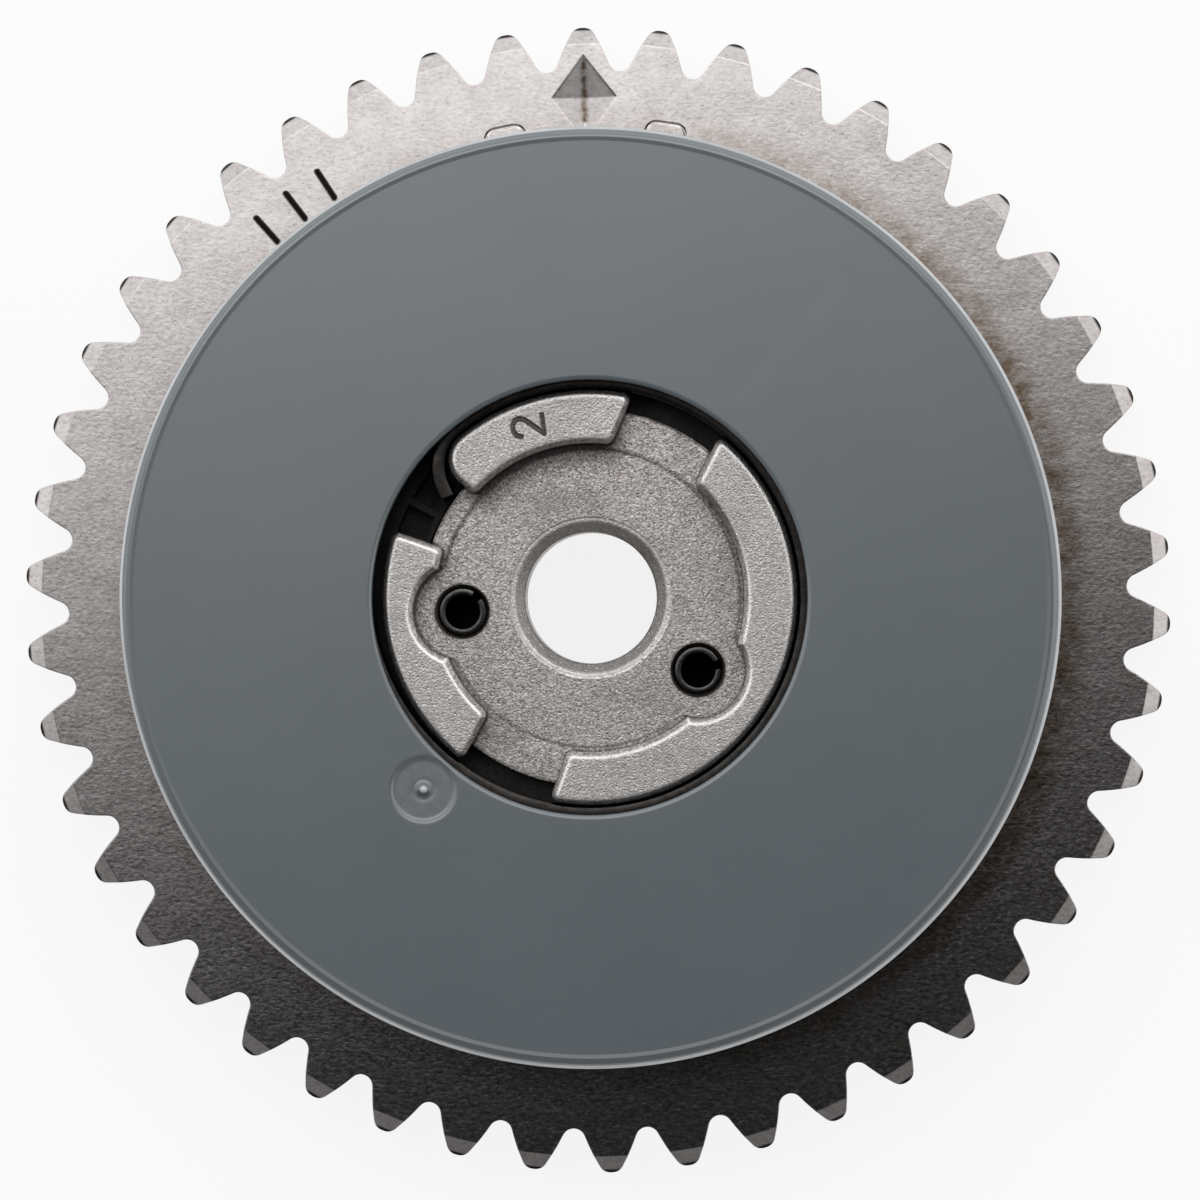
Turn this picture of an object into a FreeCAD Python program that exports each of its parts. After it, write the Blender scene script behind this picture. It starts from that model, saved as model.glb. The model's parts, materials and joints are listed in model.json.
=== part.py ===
import FreeCAD, Part
import math
import os
import Sketcher

# Hydraulic cam phaser for an intake camshaft, lying on its rear face.
# Z runs along the camshaft axis towards the front of the engine, and z = 0 is the
# rear face of the sprocket. X and Y lie in the plane of the sprocket, and the timing
# mark stands near +Y. All lengths are millimetres and all angles are degrees, counted
# anticlockwise from +X as seen from the front.

DRIVING_SIZES = (
    # Sprocket, with straight-sided gaps between its teeth
    ("tooth_count", 46, "teeth round the sprocket"),
    ("chain_pitch", 8.0, "pitch of the timing chain"),
    ("tooth_height", 2.204, "tooth tips outside the pitch circle"),
    ("root_depth", 2.45, "tooth roots inside the pitch circle"),
    ("root_rounding", 1.25, "radius at the root of a tooth gap"),
    ("flank_angle", 24.5, "side of a tooth gap to the middle of that gap, at its root"),
    ("flank_radius", 25.0, "radius of the tooth flank"),
    ("tip_rounding", 1.25, "radius at the corners of a tooth tip"),
    ("tooth_width", 4.8, "width of the toothed rim along the axis"),
    ("bevel_reach", 1.8, "radial reach of the bevel on the tips"),
    ("bevel_depth", 0.75, "axial depth of that bevel"),
    ("sprocket_thickness", 8.0, "rear face to front face of the sprocket"),
    ("boss_radius", 50.0, "rear boss of the sprocket"),
    ("boss_bevel", 1.2, "bevel of that boss"),
    ("journal_radius", 17.0, "bores that the rotor turns in"),
    ("mark_angle", 91.46, "direction of the timing mark and of the tooth above it"),
    ("mark_inset", 7.47, "centre of the timing mark inside the tooth tips"),
    ("mark_half_width", 3.5, "timing mark across"),
    ("mark_half_height", 4.6, "timing mark along the radius"),
    ("mark_depth", 1.1, "depth of the timing mark"),
    ("mark_point_share", 0.02, "floor of the timing mark over its rim"),
    # Housing, between the sprocket and the front plate
    ("chamber_radius", 37.0, "bore that the vanes sweep"),
    ("housing_wall", 8.0, "wall of the housing round that bore"),
    ("housing_bevel", 0.6, "bevels of the housing"),
    ("housing_length", 18.0, "length of the oil chambers"),
    ("vane_count", 4, "vanes, and lobes between them"),
    ("lobe_angle", 40.0, "angle that a lobe fills"),
    ("vane_angle", 24.0, "angle that a vane fills"),
    ("stop_gap", 0.5, "angle left between vane and lobe at the stops"),
    ("front_plate_overhang", 1.0, "front plate outside the housing"),
    ("front_plate_thickness", 4.0, "front plate"),
    ("front_plate_bevel", 0.5, "bevels of the front plate"),
    ("bolt_offset", 3.0, "housing bolts outside the bore that the vanes sweep"),
    ("bolt_diameter", 6.0, "housing bolts"),
    ("bolt_clearance", 0.15, "radial room of a housing bolt in its hole"),
    ("bolt_bevel", 0.6, "bevels of a housing bolt"),
    ("bolt_head_radius", 4.8, "flange under the head of a housing bolt"),
    ("bolt_flange_height", 1.2, "that flange, and its step to the head"),
    ("bolt_head_height", 4.2, "head of a housing bolt"),
    ("socket_width", 4.0, "hexagon socket of a housing bolt, across flats"),
    ("socket_depth", 2.5, "hexagon socket of a housing bolt"),
    ("dowel_radius", 2.0, "dowel between sprocket and housing"),
    ("dowel_length", 10.0, "dowel between sprocket and housing"),
    ("dowel_bevel", 0.5, "bevels of the dowel"),
    ("spare_depth", 0.5, "room below a pressed pin in its hole"),
    # Rotor
    ("rotor_hub_radius", 20.0, "hub between the vanes"),
    ("running_gap", 0.04, "radial clearance of what turns"),
    ("side_gap", 0.03, "axial clearance of the rotor at each side"),
    ("pilot_radius", 14.0, "bore that takes the nose of the camshaft"),
    ("pilot_floor", 13.0, "height of the floor of that bore"),
    ("pilot_bevel", 0.6, "bevel at the mouth of that bore"),
    ("rear_recess", 1.0, "rotor below the rear face of the sprocket"),
    ("gallery_radius", 8.5, "oil gallery round the cam bolt"),
    ("register_radius", 10.0, "centring step between rotor and spring carrier"),
    ("register_height", 1.5, "centring step between rotor and spring carrier"),
    ("oil_hole_radius", 1.2, "radial oil holes"),
    ("oil_hole_angle", 16.0, "oil hole from the middle of its vane"),
    ("retard_hole_height", 10.5, "oil holes fed from the nose of the camshaft"),
    ("advance_hole_height", 15.5, "oil holes fed from the gallery"),
    ("cam_pin_radius", 2.0, "hole for the pin in the nose of the camshaft"),
    ("cam_pin_place_radius", 11.25, "hole for the pin in the nose of the camshaft"),
    ("cam_pin_depth", 3.5, "hole for the pin in the nose of the camshaft"),
    # Seals of the vanes and lobes
    ("seal_width", 2.0, "slot of a seal"),
    ("vane_slot_depth", 3.5, "slot in the tip of a vane"),
    ("lobe_slot_depth", 3.3, "slot in the tip of a lobe"),
    ("seal_height", 2.2, "seal along the radius"),
    ("seal_gap", 0.04, "seal to the walls round it"),
    ("leaf_thickness", 0.25, "leaf spring under a seal"),
    ("leaf_width", 1.6, "leaf spring under a seal"),
    ("leaf_inset", 0.6, "ends of a leaf spring from the ends of its slot"),
    # Lock pin
    ("lock_cap_wall", 0.36, "wall between the cap's seat and the slot of the vane's seal"),
    ("lock_bore_radius", 4.0, "bore of the lock pin"),
    ("lock_nose_radius", 3.2, "nose of the lock pin"),
    ("lock_nose_length", 3.5, "nose of the lock pin"),
    ("lock_pin_length", 11.0, "lock pin"),
    ("lock_pin_lift", 0.4, "nose of the released pin above the sprocket"),
    ("lock_spring_bore", 2.6, "radius of the bore in the lock pin"),
    ("lock_spring_seat", 4.0, "floor of that bore above the nose"),
    ("lock_wire_radius", 0.3, "wire of the lock pin spring"),
    ("lock_spring_turns", 5.5, "turns of the lock pin spring"),
    ("lock_spring_clearance", 0.2, "radial room of that spring in the pin"),
    ("lock_bevel", 0.4, "bevels of the lock pin and its bush"),
    ("lock_cap_radius", 4.6, "cap behind the lock pin spring"),
    ("lock_cap_thickness", 2.0, "cap behind the lock pin spring"),
    ("lock_cap_vent", 1.0, "radius of the vent in that cap"),
    ("lock_bush_radius", 5.0, "hardened bush in the sprocket"),
    ("lock_bush_depth", 4.0, "hardened bush in the sprocket"),
    ("lock_bush_clearance", 0.15, "radial room of the nose in the bush"),
    # Spring carrier, the disc with three raised lugs
    ("carrier_radius", 19.3, "disc of the spring carrier"),
    ("carrier_lift", 0.2, "underside of the disc above the front plate"),
    ("carrier_face_height", 2.5, "front of the disc above the front plate"),
    ("lug_height", 4.0, "lugs above the disc"),
    ("lug_outer_radius", 21.15, "outside of the lugs"),
    ("lug_inner_radius", 15.75, "inside of the lugs"),
    ("lug_bevel", 0.55, "bevel round the top of a lug"),
    ("lug_rounding", 0.8, "corners of a lug"),
    ("lug_heel_rounding", 3.0, "corner of the top lug that the spring hooks round"),
    ("lug_relief_radius", 4.9, "clearance round a roll pin"),
    ("top_lug_start", 82.2, "right end of the top lug, at its inside"),
    ("top_lug_start_outside", 78.0, "right end of the top lug, at its outside"),
    ("top_lug_end", 138.5, "left end of the top lug"),
    ("left_lug_start", 161.2, "upper end of the left lug"),
    ("left_lug_end", 228.6, "lower end of the left lug, at its inside"),
    ("left_lug_end_outside", 232.0, "lower end of the left lug, at its outside"),
    ("right_lug_start", -98.3, "lower end of the right lug, at its inside"),
    ("right_lug_start_outside", -101.3, "lower end of the right lug, at its outside"),
    ("right_lug_end", 47.3, "upper end of the right lug, at its inside"),
    ("right_lug_end_outside", 51.4, "upper end of the right lug, at its outside"),
    ("face_step_radius", 15.3, "sunk middle of the disc"),
    ("face_step_depth", 0.18, "sunk middle of the disc"),
    ("tang_recess_radius", 17.2, "edge of the disc beside the spring tang"),
    ("tang_recess_spare", 1.0, "angle that this recess reaches into the lugs"),
    ("tang_pocket_radius", 19.6, "blind pockets in the front plate beside the tang"),
    ("tang_pocket_width", 3.0, "those pockets along the radius"),
    ("tang_pocket_depth", 2.4, "depth of those pockets"),
    ("tang_pocket_start", 140.2, "first end of the pockets"),
    ("tang_pocket_split", 151.75, "middle of the web between the pockets"),
    ("tang_pocket_end", 161.2, "last end of the pockets"),
    ("tang_pocket_web", 2.2, "angle that the web fills"),
    ("bolt_bore_radius", 6.75, "bore for the cam bolt"),
    ("bolt_bore_bevel", 1.1, "bevel of that bore"),
    ("roll_pin_radius", 2.5, "slotted spring pins"),
    ("roll_pin_wall", 0.75, "wall of a slotted spring pin"),
    ("roll_pin_slot", 1.0, "slot of a slotted spring pin"),
    ("roll_pin_bevel", 0.3, "bevel at the ends of a slotted spring pin"),
    ("roll_pin_sink", 0.35, "pin end below the face"),
    ("roll_pin_depth", 7.0, "slotted spring pin inside the rotor"),
    ("roll_pin_place_radius", 13.25, "slotted spring pins"),
    ("left_pin_angle", 186.2, "left slotted spring pin"),
    ("left_slot_angle", 47.0, "direction of its slot"),
    ("right_pin_angle", 326.0, "right slotted spring pin"),
    ("right_slot_angle", 15.0, "direction of its slot"),
    # Bias spring
    ("band_thickness", 1.5, "band of the spiral spring"),
    ("band_width", 5.0, "band of the spiral spring along the axis"),
    ("band_lift", 0.4, "spring above the front plate"),
    ("band_step", 1.3, "growth of the spiral in each half turn"),
    ("coil_gap", 0.15, "innermost coil to the lugs"),
    ("tang_angle", 128.0, "where the tang leaves the innermost coil"),
    ("tang_radius", 5.0, "bend of the tang"),
    ("tang_sweep", 76.0, "bend of the tang"),
    ("tang_length", 1.2, "straight end of the tang"),
    ("first_coil_angle", 230.0, "part of the innermost coil that hugs the lugs"),
    ("half_turn_count", 5, "half turns of the spiral between the first and the last coil"),
    ("last_coil_angle", 76.5, "part turn before the outer hook"),
    ("hook_sweep", 150.0, "outer hook round its pin"),
    ("anchor_radius", 1.75, "pin that holds the outer end of the spring"),
    ("anchor_gap", 0.05, "that pin to the hook"),
    ("anchor_length", 9.0, "pin that holds the outer end of the spring"),
    ("anchor_lift", 0.2, "foot of that pin above the rear of the front plate"),
    ("anchor_bevel", 0.4, "bevels of that pin"),
    # Cover
    ("cover_gap", 0.2, "cover outside the front plate"),
    ("cover_opening_gap", 1.0, "opening of the cover outside the lugs"),
    ("cover_wall", 1.8, "wall of the cover"),
    ("cover_height", 8.0, "top of the cover above the front plate"),
    ("cover_skirt", 11.0, "skirt of the cover"),
    ("cover_shoulder", 2.2, "rounding between top and skirt"),
    ("cover_lip", 0.4, "rounding at the opening"),
    ("clip_count", 4, "snap clips of the cover"),
    ("clip_angle", 12.0, "angle that a clip fills"),
    ("clip_length", 3.0, "clip below the skirt"),
    ("clip_hook", 0.8, "hook of a clip under the front plate"),
    ("clip_gap", 0.15, "hook of a clip below the front plate"),
    ("gate_radius", 3.2, "round gate mark"),
    ("gate_depth", 0.15, "round gate mark"),
    ("gate_nib_radius", 0.8, "nib in the gate mark"),
    ("gate_nib_height", 0.45, "nib in the gate mark"),
    ("gate_nib_rounding", 0.36, "crown of that nib"),
    ("gate_place_radius", 25.8, "gate mark from the axis"),
    ("gate_angle", 229.2, "direction of the gate mark"),
)

doc = FreeCAD.newDocument("cam_phaser")
sheet = doc.addObject("Spreadsheet::Sheet", "Sizes")
for row, (alias, value, meaning) in enumerate(DRIVING_SIZES, start=1):
    sheet.set(f"A{row}", meaning)
    sheet.set(f"B{row}", str(value))
    sheet.setAlias(f"B{row}", alias)
doc.recompute()


class Size:
    # A size knows its number and the formula in the sheet's names that gives it, so
    # that one line of arithmetic sets both a drawing and the expression behind it.
    def __init__(self, number, formula):
        self.number = number
        self.formula = formula

    def __add__(self, other):
        other = as_size(other)
        return Size(self.number + other.number, f"({self.formula} + {other.formula})")

    def __sub__(self, other):
        other = as_size(other)
        return Size(self.number - other.number, f"({self.formula} - {other.formula})")

    def __mul__(self, other):
        other = as_size(other)
        return Size(self.number * other.number, f"({self.formula} * {other.formula})")

    def __truediv__(self, other):
        other = as_size(other)
        return Size(self.number / other.number, f"({self.formula} / {other.formula})")

    def __neg__(self):
        return as_size(0) - self


def as_size(value):
    return value if isinstance(value, Size) else Size(value, f"({value})")


def size(alias):
    return Size(float(sheet.get(alias)), f"Sizes.{alias}")


def polar(radius, angle):
    # Point at a radius and an angle, as a pair of sizes.
    turn = math.radians(angle.number)
    across = Size(math.cos(turn), f"cos({angle.formula})")
    up = Size(math.sin(turn), f"sin({angle.formula})")
    return radius * across, radius * up


def vector(point):
    return FreeCAD.Vector(point[0].number, point[1].number, 0)


def turned(radius, angle):
    return FreeCAD.Vector(radius * math.cos(math.radians(angle)), radius * math.sin(math.radians(angle)), 0)


# Heights that several pieces share
zero = as_size(0)
sprocket_front = size("sprocket_thickness")
plate_rear = sprocket_front + size("housing_length")
plate_front = plate_rear + size("front_plate_thickness")
rotor_rear = sprocket_front + size("side_gap")
rotor_front = plate_rear - size("side_gap")
rotor_length = rotor_front - rotor_rear
carrier_face = plate_front + size("carrier_face_height")
carrier_floor = carrier_face - size("face_step_depth")
lug_top = carrier_face + size("lug_height")
cover_top = plate_front + size("cover_height")

# What a tool cuts or a pad adds beyond the face that it must clear
overlap = as_size(1)

# Radii and directions that several pieces share
half_tooth = Size(180 / size("tooth_count").number, "180 / Sizes.tooth_count")
half_tooth_sine = Size(math.sin(math.radians(half_tooth.number)), f"sin({half_tooth.formula})")
pitch_radius = size("chain_pitch") / 2 / half_tooth_sine
tip_radius = pitch_radius + size("tooth_height")
housing_radius = size("chamber_radius") + size("housing_wall")
front_plate_radius = housing_radius + size("front_plate_overhang")
bolt_circle_radius = size("chamber_radius") + size("bolt_offset")
cover_radius = front_plate_radius + size("cover_gap") + size("cover_wall")
cover_opening_radius = size("lug_outer_radius") + size("cover_opening_gap")
lobe_tip_radius = size("rotor_hub_radius") + size("running_gap")
vane_tip_radius = size("chamber_radius") - size("running_gap")
turning_radius = size("journal_radius") - size("running_gap")
dowel_place_radius = (lobe_tip_radius + size("chamber_radius")) / 2
vane_slot_floor = vane_tip_radius - size("vane_slot_depth")
lock_place_radius = vane_slot_floor - size("lock_cap_wall") - size("lock_cap_radius")
vane_pitch = as_size(360) / size("vane_count")
first_lobe_angle = size("mark_angle") - vane_pitch / 2
first_vane_angle = (
    first_lobe_angle - size("lobe_angle") / 2 - size("stop_gap") - size("vane_angle") / 2
)
lock_angle = first_vane_angle + vane_pitch
dowel_angle = first_lobe_angle + vane_pitch * 2
pin_angles = (size("left_pin_angle"), size("right_pin_angle"))


def add_body(label):
    body = doc.addObject("PartDesign::Body", label)
    body.Label = label
    return body


def origin_part(body, role):
    return [part for part in body.Origin.OriginFeatures if part.Role == role][0]


def add_sketch(body, name, role="XY_Plane", height=None):
    sketch = body.newObject("Sketcher::SketchObject", f"{body.Name}_{name}")
    sketch.AttachmentSupport = [(origin_part(body, role), "")]
    sketch.MapMode = "FlatFace"
    if height is not None:
        offset = FreeCAD.Vector(0, 0, height.number)
        sketch.AttachmentOffset = FreeCAD.Placement(offset, FreeCAD.Rotation())
        sketch.setExpression("AttachmentOffset.Base.z", height.formula)
    return sketch


def bind(sketch, kind, geometry, point, value):
    # Ties one size of the drawing to its formula. A coordinate of nought lies on an axis.
    if kind != "Radius" and value.number == 0:
        axis = -2 if kind == "DistanceX" else -1
        sketch.addConstraint(Sketcher.Constraint("PointOnObject", geometry, point, axis))
        return
    where = (geometry,) if kind == "Radius" else (geometry, point)
    number = sketch.addConstraint(Sketcher.Constraint(kind, *where, value.number))
    sketch.setExpression(f"Constraints[{number}]", value.formula)


def bind_point(sketch, geometry, point, place):
    bind(sketch, "DistanceX", geometry, point, place[0])
    bind(sketch, "DistanceY", geometry, point, place[1])


def draw_polygon(sketch, corners):
    first = sketch.GeometryCount
    count = len(corners)
    for i in range(count):
        line = Part.LineSegment(vector(corners[i]), vector(corners[(i + 1) % count]))
        sketch.addGeometry(line, False)
    for i in range(count):
        following = first + (i + 1) % count
        sketch.addConstraint(Sketcher.Constraint("Coincident", first + i, 2, following, 1))
        bind_point(sketch, first + i, 1, corners[i])


def draw_circle(sketch, centre, radius):
    circle = Part.Circle(vector(centre), FreeCAD.Vector(0, 0, 1), radius.number)
    number = sketch.addGeometry(circle, False)
    bind_point(sketch, number, 3, centre)
    bind(sketch, "Radius", number, 0, radius)


def draw_sector(sketch, inner, outer, starts, ends):
    # Piece of a ring. Each end has an angle at the inner and one at the outer radius.
    first = sketch.GeometryCount
    centre = FreeCAD.Vector(0, 0, 0)
    up = FreeCAD.Vector(0, 0, 1)
    corners = (polar(outer, starts[1]), polar(outer, ends[1]), polar(inner, ends[0]), polar(inner, starts[0]))
    for radius, start, end in ((outer, starts[1], ends[1]), (inner, starts[0], ends[0])):
        turns = (math.radians(start.number), math.radians(end.number))
        sketch.addGeometry(Part.ArcOfCircle(Part.Circle(centre, up, radius.number), *turns), False)
    sketch.addGeometry(Part.LineSegment(vector(corners[1]), vector(corners[2])), False)
    sketch.addGeometry(Part.LineSegment(vector(corners[3]), vector(corners[0])), False)
    outer_arc, inner_arc, end_line, start_line = range(first, first + 4)
    joins = ((outer_arc, 2, end_line, 1), (end_line, 2, inner_arc, 2),
             (inner_arc, 1, start_line, 1), (start_line, 2, outer_arc, 1))
    for join in joins:
        sketch.addConstraint(Sketcher.Constraint("Coincident", *join))
    bind_point(sketch, end_line, 1, corners[1])
    bind_point(sketch, end_line, 2, corners[2])
    bind_point(sketch, start_line, 1, corners[3])
    bind_point(sketch, start_line, 2, corners[0])
    bind(sketch, "Radius", outer_arc, 0, outer)
    bind(sketch, "Radius", inner_arc, 0, inner)


def extrude(body, kind, name, sketch, length, backwards=False):
    # A pad grows along the sketch's normal and a pocket cuts against it.
    feature = body.newObject(kind, f"{body.Name}_{name}")
    feature.Profile = sketch
    feature.Length = length.number
    feature.setExpression("Length", length.formula)
    feature.Reversed = backwards
    sketch.Visibility = False
    doc.recompute()
    return feature


def pad(body, name, sketch, length):
    return extrude(body, "PartDesign::Pad", name, sketch, length)


def pocket(body, name, sketch, length, backwards=False):
    before = body.Shape.Volume
    feature = extrude(body, "PartDesign::Pocket", name, sketch, length, backwards)
    if feature.Shape.Volume >= before:
        raise RuntimeError(f"{body.Label}: {name} cuts nothing")
    return feature


def spin(body, kind, name, corners):
    # Turns a closed outline of (radius, height) corners once round the body's Z axis.
    sketch = add_sketch(body, f"{name}_outline", "XZ_Plane")
    draw_polygon(sketch, corners)
    feature = body.newObject(kind, f"{body.Name}_{name}")
    feature.Profile = sketch
    feature.ReferenceAxis = (origin_part(body, "Z_Axis"), [""])
    feature.Angle = 360
    sketch.Visibility = False
    doc.recompute()
    return feature


def revolve(body, name, corners):
    return spin(body, "PartDesign::Revolution", name, corners)


def groove(body, name, corners):
    return spin(body, "PartDesign::Groove", name, corners)


def ring_pattern(body, name, originals, count):
    pattern = body.newObject("PartDesign::PolarPattern", f"{body.Name}_{name}")
    pattern.Originals = originals
    pattern.Axis = (origin_part(body, "Z_Axis"), [""])
    pattern.Angle = 360
    pattern.Occurrences = int(count.number)
    pattern.setExpression("Occurrences", count.formula)
    body.Tip = pattern
    doc.recompute()
    return pattern


def edge_names(shape, wanted):
    return [f"Edge{i}" for i, edge in enumerate(shape.Edges, start=1) if wanted(edge)]


def dress(body, kind, name, wanted, amount):
    # Fillet or chamfer on the edges of the body so far that the test picks out.
    base = body.Tip
    feature = body.newObject(kind, f"{body.Name}_{name}")
    feature.Base = (base, edge_names(base.Shape, wanted))
    measure = "Radius" if kind == "PartDesign::Fillet" else "Size"
    setattr(feature, measure, amount.number)
    feature.setExpression(measure, amount.formula)
    doc.recompute()
    return feature


def lies_at_height(edge, height):
    box = edge.BoundBox
    return abs(box.ZMin - height.number) < 0.001 and abs(box.ZMax - height.number) < 0.001


def is_upright_at(edge, place):
    box = edge.BoundBox
    spot = FreeCAD.Vector(edge.CenterOfMass.x, edge.CenterOfMass.y, 0)
    return box.ZLength > 0.5 and box.XLength < 0.01 and spot.distanceToPoint(place) < 0.05


def turn_piece(piece, angle, height=None):
    # Turns a piece about the phaser's axis and lifts it, with both tied to the sheet.
    lift = 0 if height is None else height.number
    up = FreeCAD.Vector(0, 0, 1)
    piece.Placement = FreeCAD.Placement(FreeCAD.Vector(0, 0, lift), FreeCAD.Rotation(up, angle.number))
    piece.setExpression("Placement.Rotation.Angle", angle.formula)
    if height is not None:
        piece.setExpression("Placement.Base.z", height.formula)


def place_piece(piece, place, height):
    base = vector(place) + FreeCAD.Vector(0, 0, height.number)
    piece.Placement = FreeCAD.Placement(base, FreeCAD.Rotation())
    for axis, value in zip("xyz", (*place, height)):
        piece.setExpression(f"Placement.Base.{axis}", value.formula)


# Sprocket


def tooth_ring_outline():
    # One tooth gap after another: the arc at its root, a slightly convex flank on each
    # side of it, rounded corners and the tooth tip.
    count = int(size("tooth_count").number)
    pitch_angle = 360 / count
    root = size("root_rounding").number
    flank = size("flank_radius").number
    tip = tip_radius.number
    rounding = size("tip_rounding").number
    centre = FreeCAD.Vector((pitch_radius - size("root_depth")).number + root, 0, 0)
    root_end_angle = 90 + size("flank_angle").number
    root_end = centre + turned(root, root_end_angle)
    flank_centre = centre + turned(root + flank, root_end_angle)
    # The corner circle touches the flank from inside the tooth, and the tip circle.
    reach = flank_centre.Length
    near = tip - rounding
    far = flank - rounding
    cosine = (reach ** 2 + near ** 2 - far ** 2) / (2 * reach * near)
    bearing = math.degrees(math.atan2(flank_centre.y, flank_centre.x))
    corner_angle = bearing - math.degrees(math.acos(cosine))
    corner_centre = turned(near, corner_angle)
    flank_end = corner_centre + (corner_centre - flank_centre).normalize() * rounding
    tip_start = turned(tip, corner_angle)
    root_middle = centre + turned(root, 180)
    flank_middle = flank_centre + ((root_end + flank_end) / 2 - flank_centre).normalize() * flank
    corner_middle = corner_centre + ((flank_end + tip_start) / 2 - corner_centre).normalize() * rounding
    half = ((root_end, flank_middle, flank_end), (flank_end, corner_middle, tip_start))
    edges = []
    first_gap = size("mark_angle").number + pitch_angle / 2
    for gap in range(count):
        turn = FreeCAD.Rotation(FreeCAD.Vector(0, 0, 1), first_gap + gap * pitch_angle)
        lower = [[mirrored(point) for point in reversed(arc)] for arc in reversed(half)]
        arcs = lower + [[mirrored(root_end), root_middle, root_end]] + list(half)
        next_tip = turned(tip, pitch_angle - corner_angle)
        arcs.append([tip_start, turned(tip, pitch_angle / 2), next_tip])
        edges += [Part.Arc(*[turn.multVec(point) for point in arc]) for arc in arcs]
    return edges


def mirrored(point):
    return FreeCAD.Vector(point.x, -point.y, 0)


def cut_timing_mark(body):
    # Four-sided pyramid pressed into the front face, with one corner near the tooth.
    half_width, half_height = size("mark_half_width"), size("mark_half_height")
    mark_sketches = []
    for name, height, scale in (("rim", sprocket_front, as_size(1)),
                                ("point", sprocket_front - size("mark_depth"), size("mark_point_share"))):
        sketch = add_sketch(body, f"mark_{name}", height=height)
        out, across = polar(as_size(1), size("mark_angle"))
        corners = []
        for along, side in ((1, 0), (0, 1), (-1, 0), (0, -1)):
            radial = (tip_radius - size("mark_inset")) + half_height * scale * along
            sideways = half_width * scale * side
            corners.append((radial * out - sideways * across, radial * across + sideways * out))
        draw_polygon(sketch, corners)
        mark_sketches.append(sketch)
    mark = body.newObject("PartDesign::SubtractiveLoft", f"{body.Name}_mark")
    mark.Profile = mark_sketches[0]
    mark.Sections = [mark_sketches[1]]
    mark.Ruled = True
    doc.recompute()


def make_sprocket():
    body = add_body("sprocket")
    rim_rear = sprocket_front - size("tooth_width")
    outline = add_sketch(body, "teeth", height=rim_rear)
    outline.addGeometry(tooth_ring_outline(), False)
    draw_circle(outline, (zero, zero), size("journal_radius"))
    pad(body, "rim", outline, size("tooth_width"))
    bevel, boss = size("boss_bevel"), size("boss_radius")
    revolve(body, "boss", [
        (size("journal_radius") + bevel / 2, zero), (boss - bevel, zero), (boss, bevel),
        (boss, rim_rear - bevel / 2), (boss + bevel / 2, rim_rear),
        (size("journal_radius"), rim_rear), (size("journal_radius"), bevel / 2),
    ])
    tip, reach, depth = tip_radius, size("bevel_reach"), size("bevel_depth")
    for name, face, way in (("front", sprocket_front, -1), ("rear", rim_rear, 1)):
        groove(body, f"{name}_bevel", [
            (tip - reach, face), (tip + reach, face), (tip + reach, face + depth * (2 * way)),
        ])
    hole = add_sketch(body, "bolt_hole", height=sprocket_front)
    draw_circle(hole, polar(bolt_circle_radius, first_lobe_angle), size("bolt_diameter") / 2)
    bolt_hole = pocket(body, "bolt_hole", hole, sprocket_front)
    ring_pattern(body, "bolt_holes", [bolt_hole], size("vane_count"))
    seat = add_sketch(body, "lock_seat", height=sprocket_front)
    draw_circle(seat, polar(lock_place_radius, lock_angle), size("lock_bush_radius"))
    pocket(body, "lock_seat", seat, size("lock_bush_depth"))
    vent = add_sketch(body, "lock_vent", height=sprocket_front)
    draw_circle(vent, polar(lock_place_radius, lock_angle), size("oil_hole_radius"))
    pocket(body, "lock_vent", vent, sprocket_front)
    dowel = add_sketch(body, "dowel_hole", height=sprocket_front)
    draw_circle(dowel, polar(dowel_place_radius, dowel_angle), size("dowel_radius"))
    pocket(body, "dowel_hole", dowel, size("dowel_length") / 2)
    cut_timing_mark(body)
    return body


def make_lock_bush():
    body = add_body("lock_bush")
    outer, depth = size("lock_bush_radius"), size("lock_bush_depth")
    inner, lead = size("lock_nose_radius") + size("lock_bush_clearance"), size("lock_bevel")
    revolve(body, "ring", [
        (inner, zero), (outer, zero), (outer, depth), (inner + lead, depth), (inner, depth - lead),
    ])
    place_piece(body, polar(lock_place_radius, lock_angle), sprocket_front - depth)
    return body


def make_housing_dowel():
    body = add_body("housing_dowel")
    radius, length, lead = size("dowel_radius"), size("dowel_length"), size("dowel_bevel")
    revolve(body, "pin", [
        (zero, zero), (radius - lead, zero), (radius, lead), (radius, length - lead),
        (radius - lead, length), (zero, length),
    ])
    place_piece(body, polar(dowel_place_radius, dowel_angle), sprocket_front - length / 2)
    return body


# Housing and front plate


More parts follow.
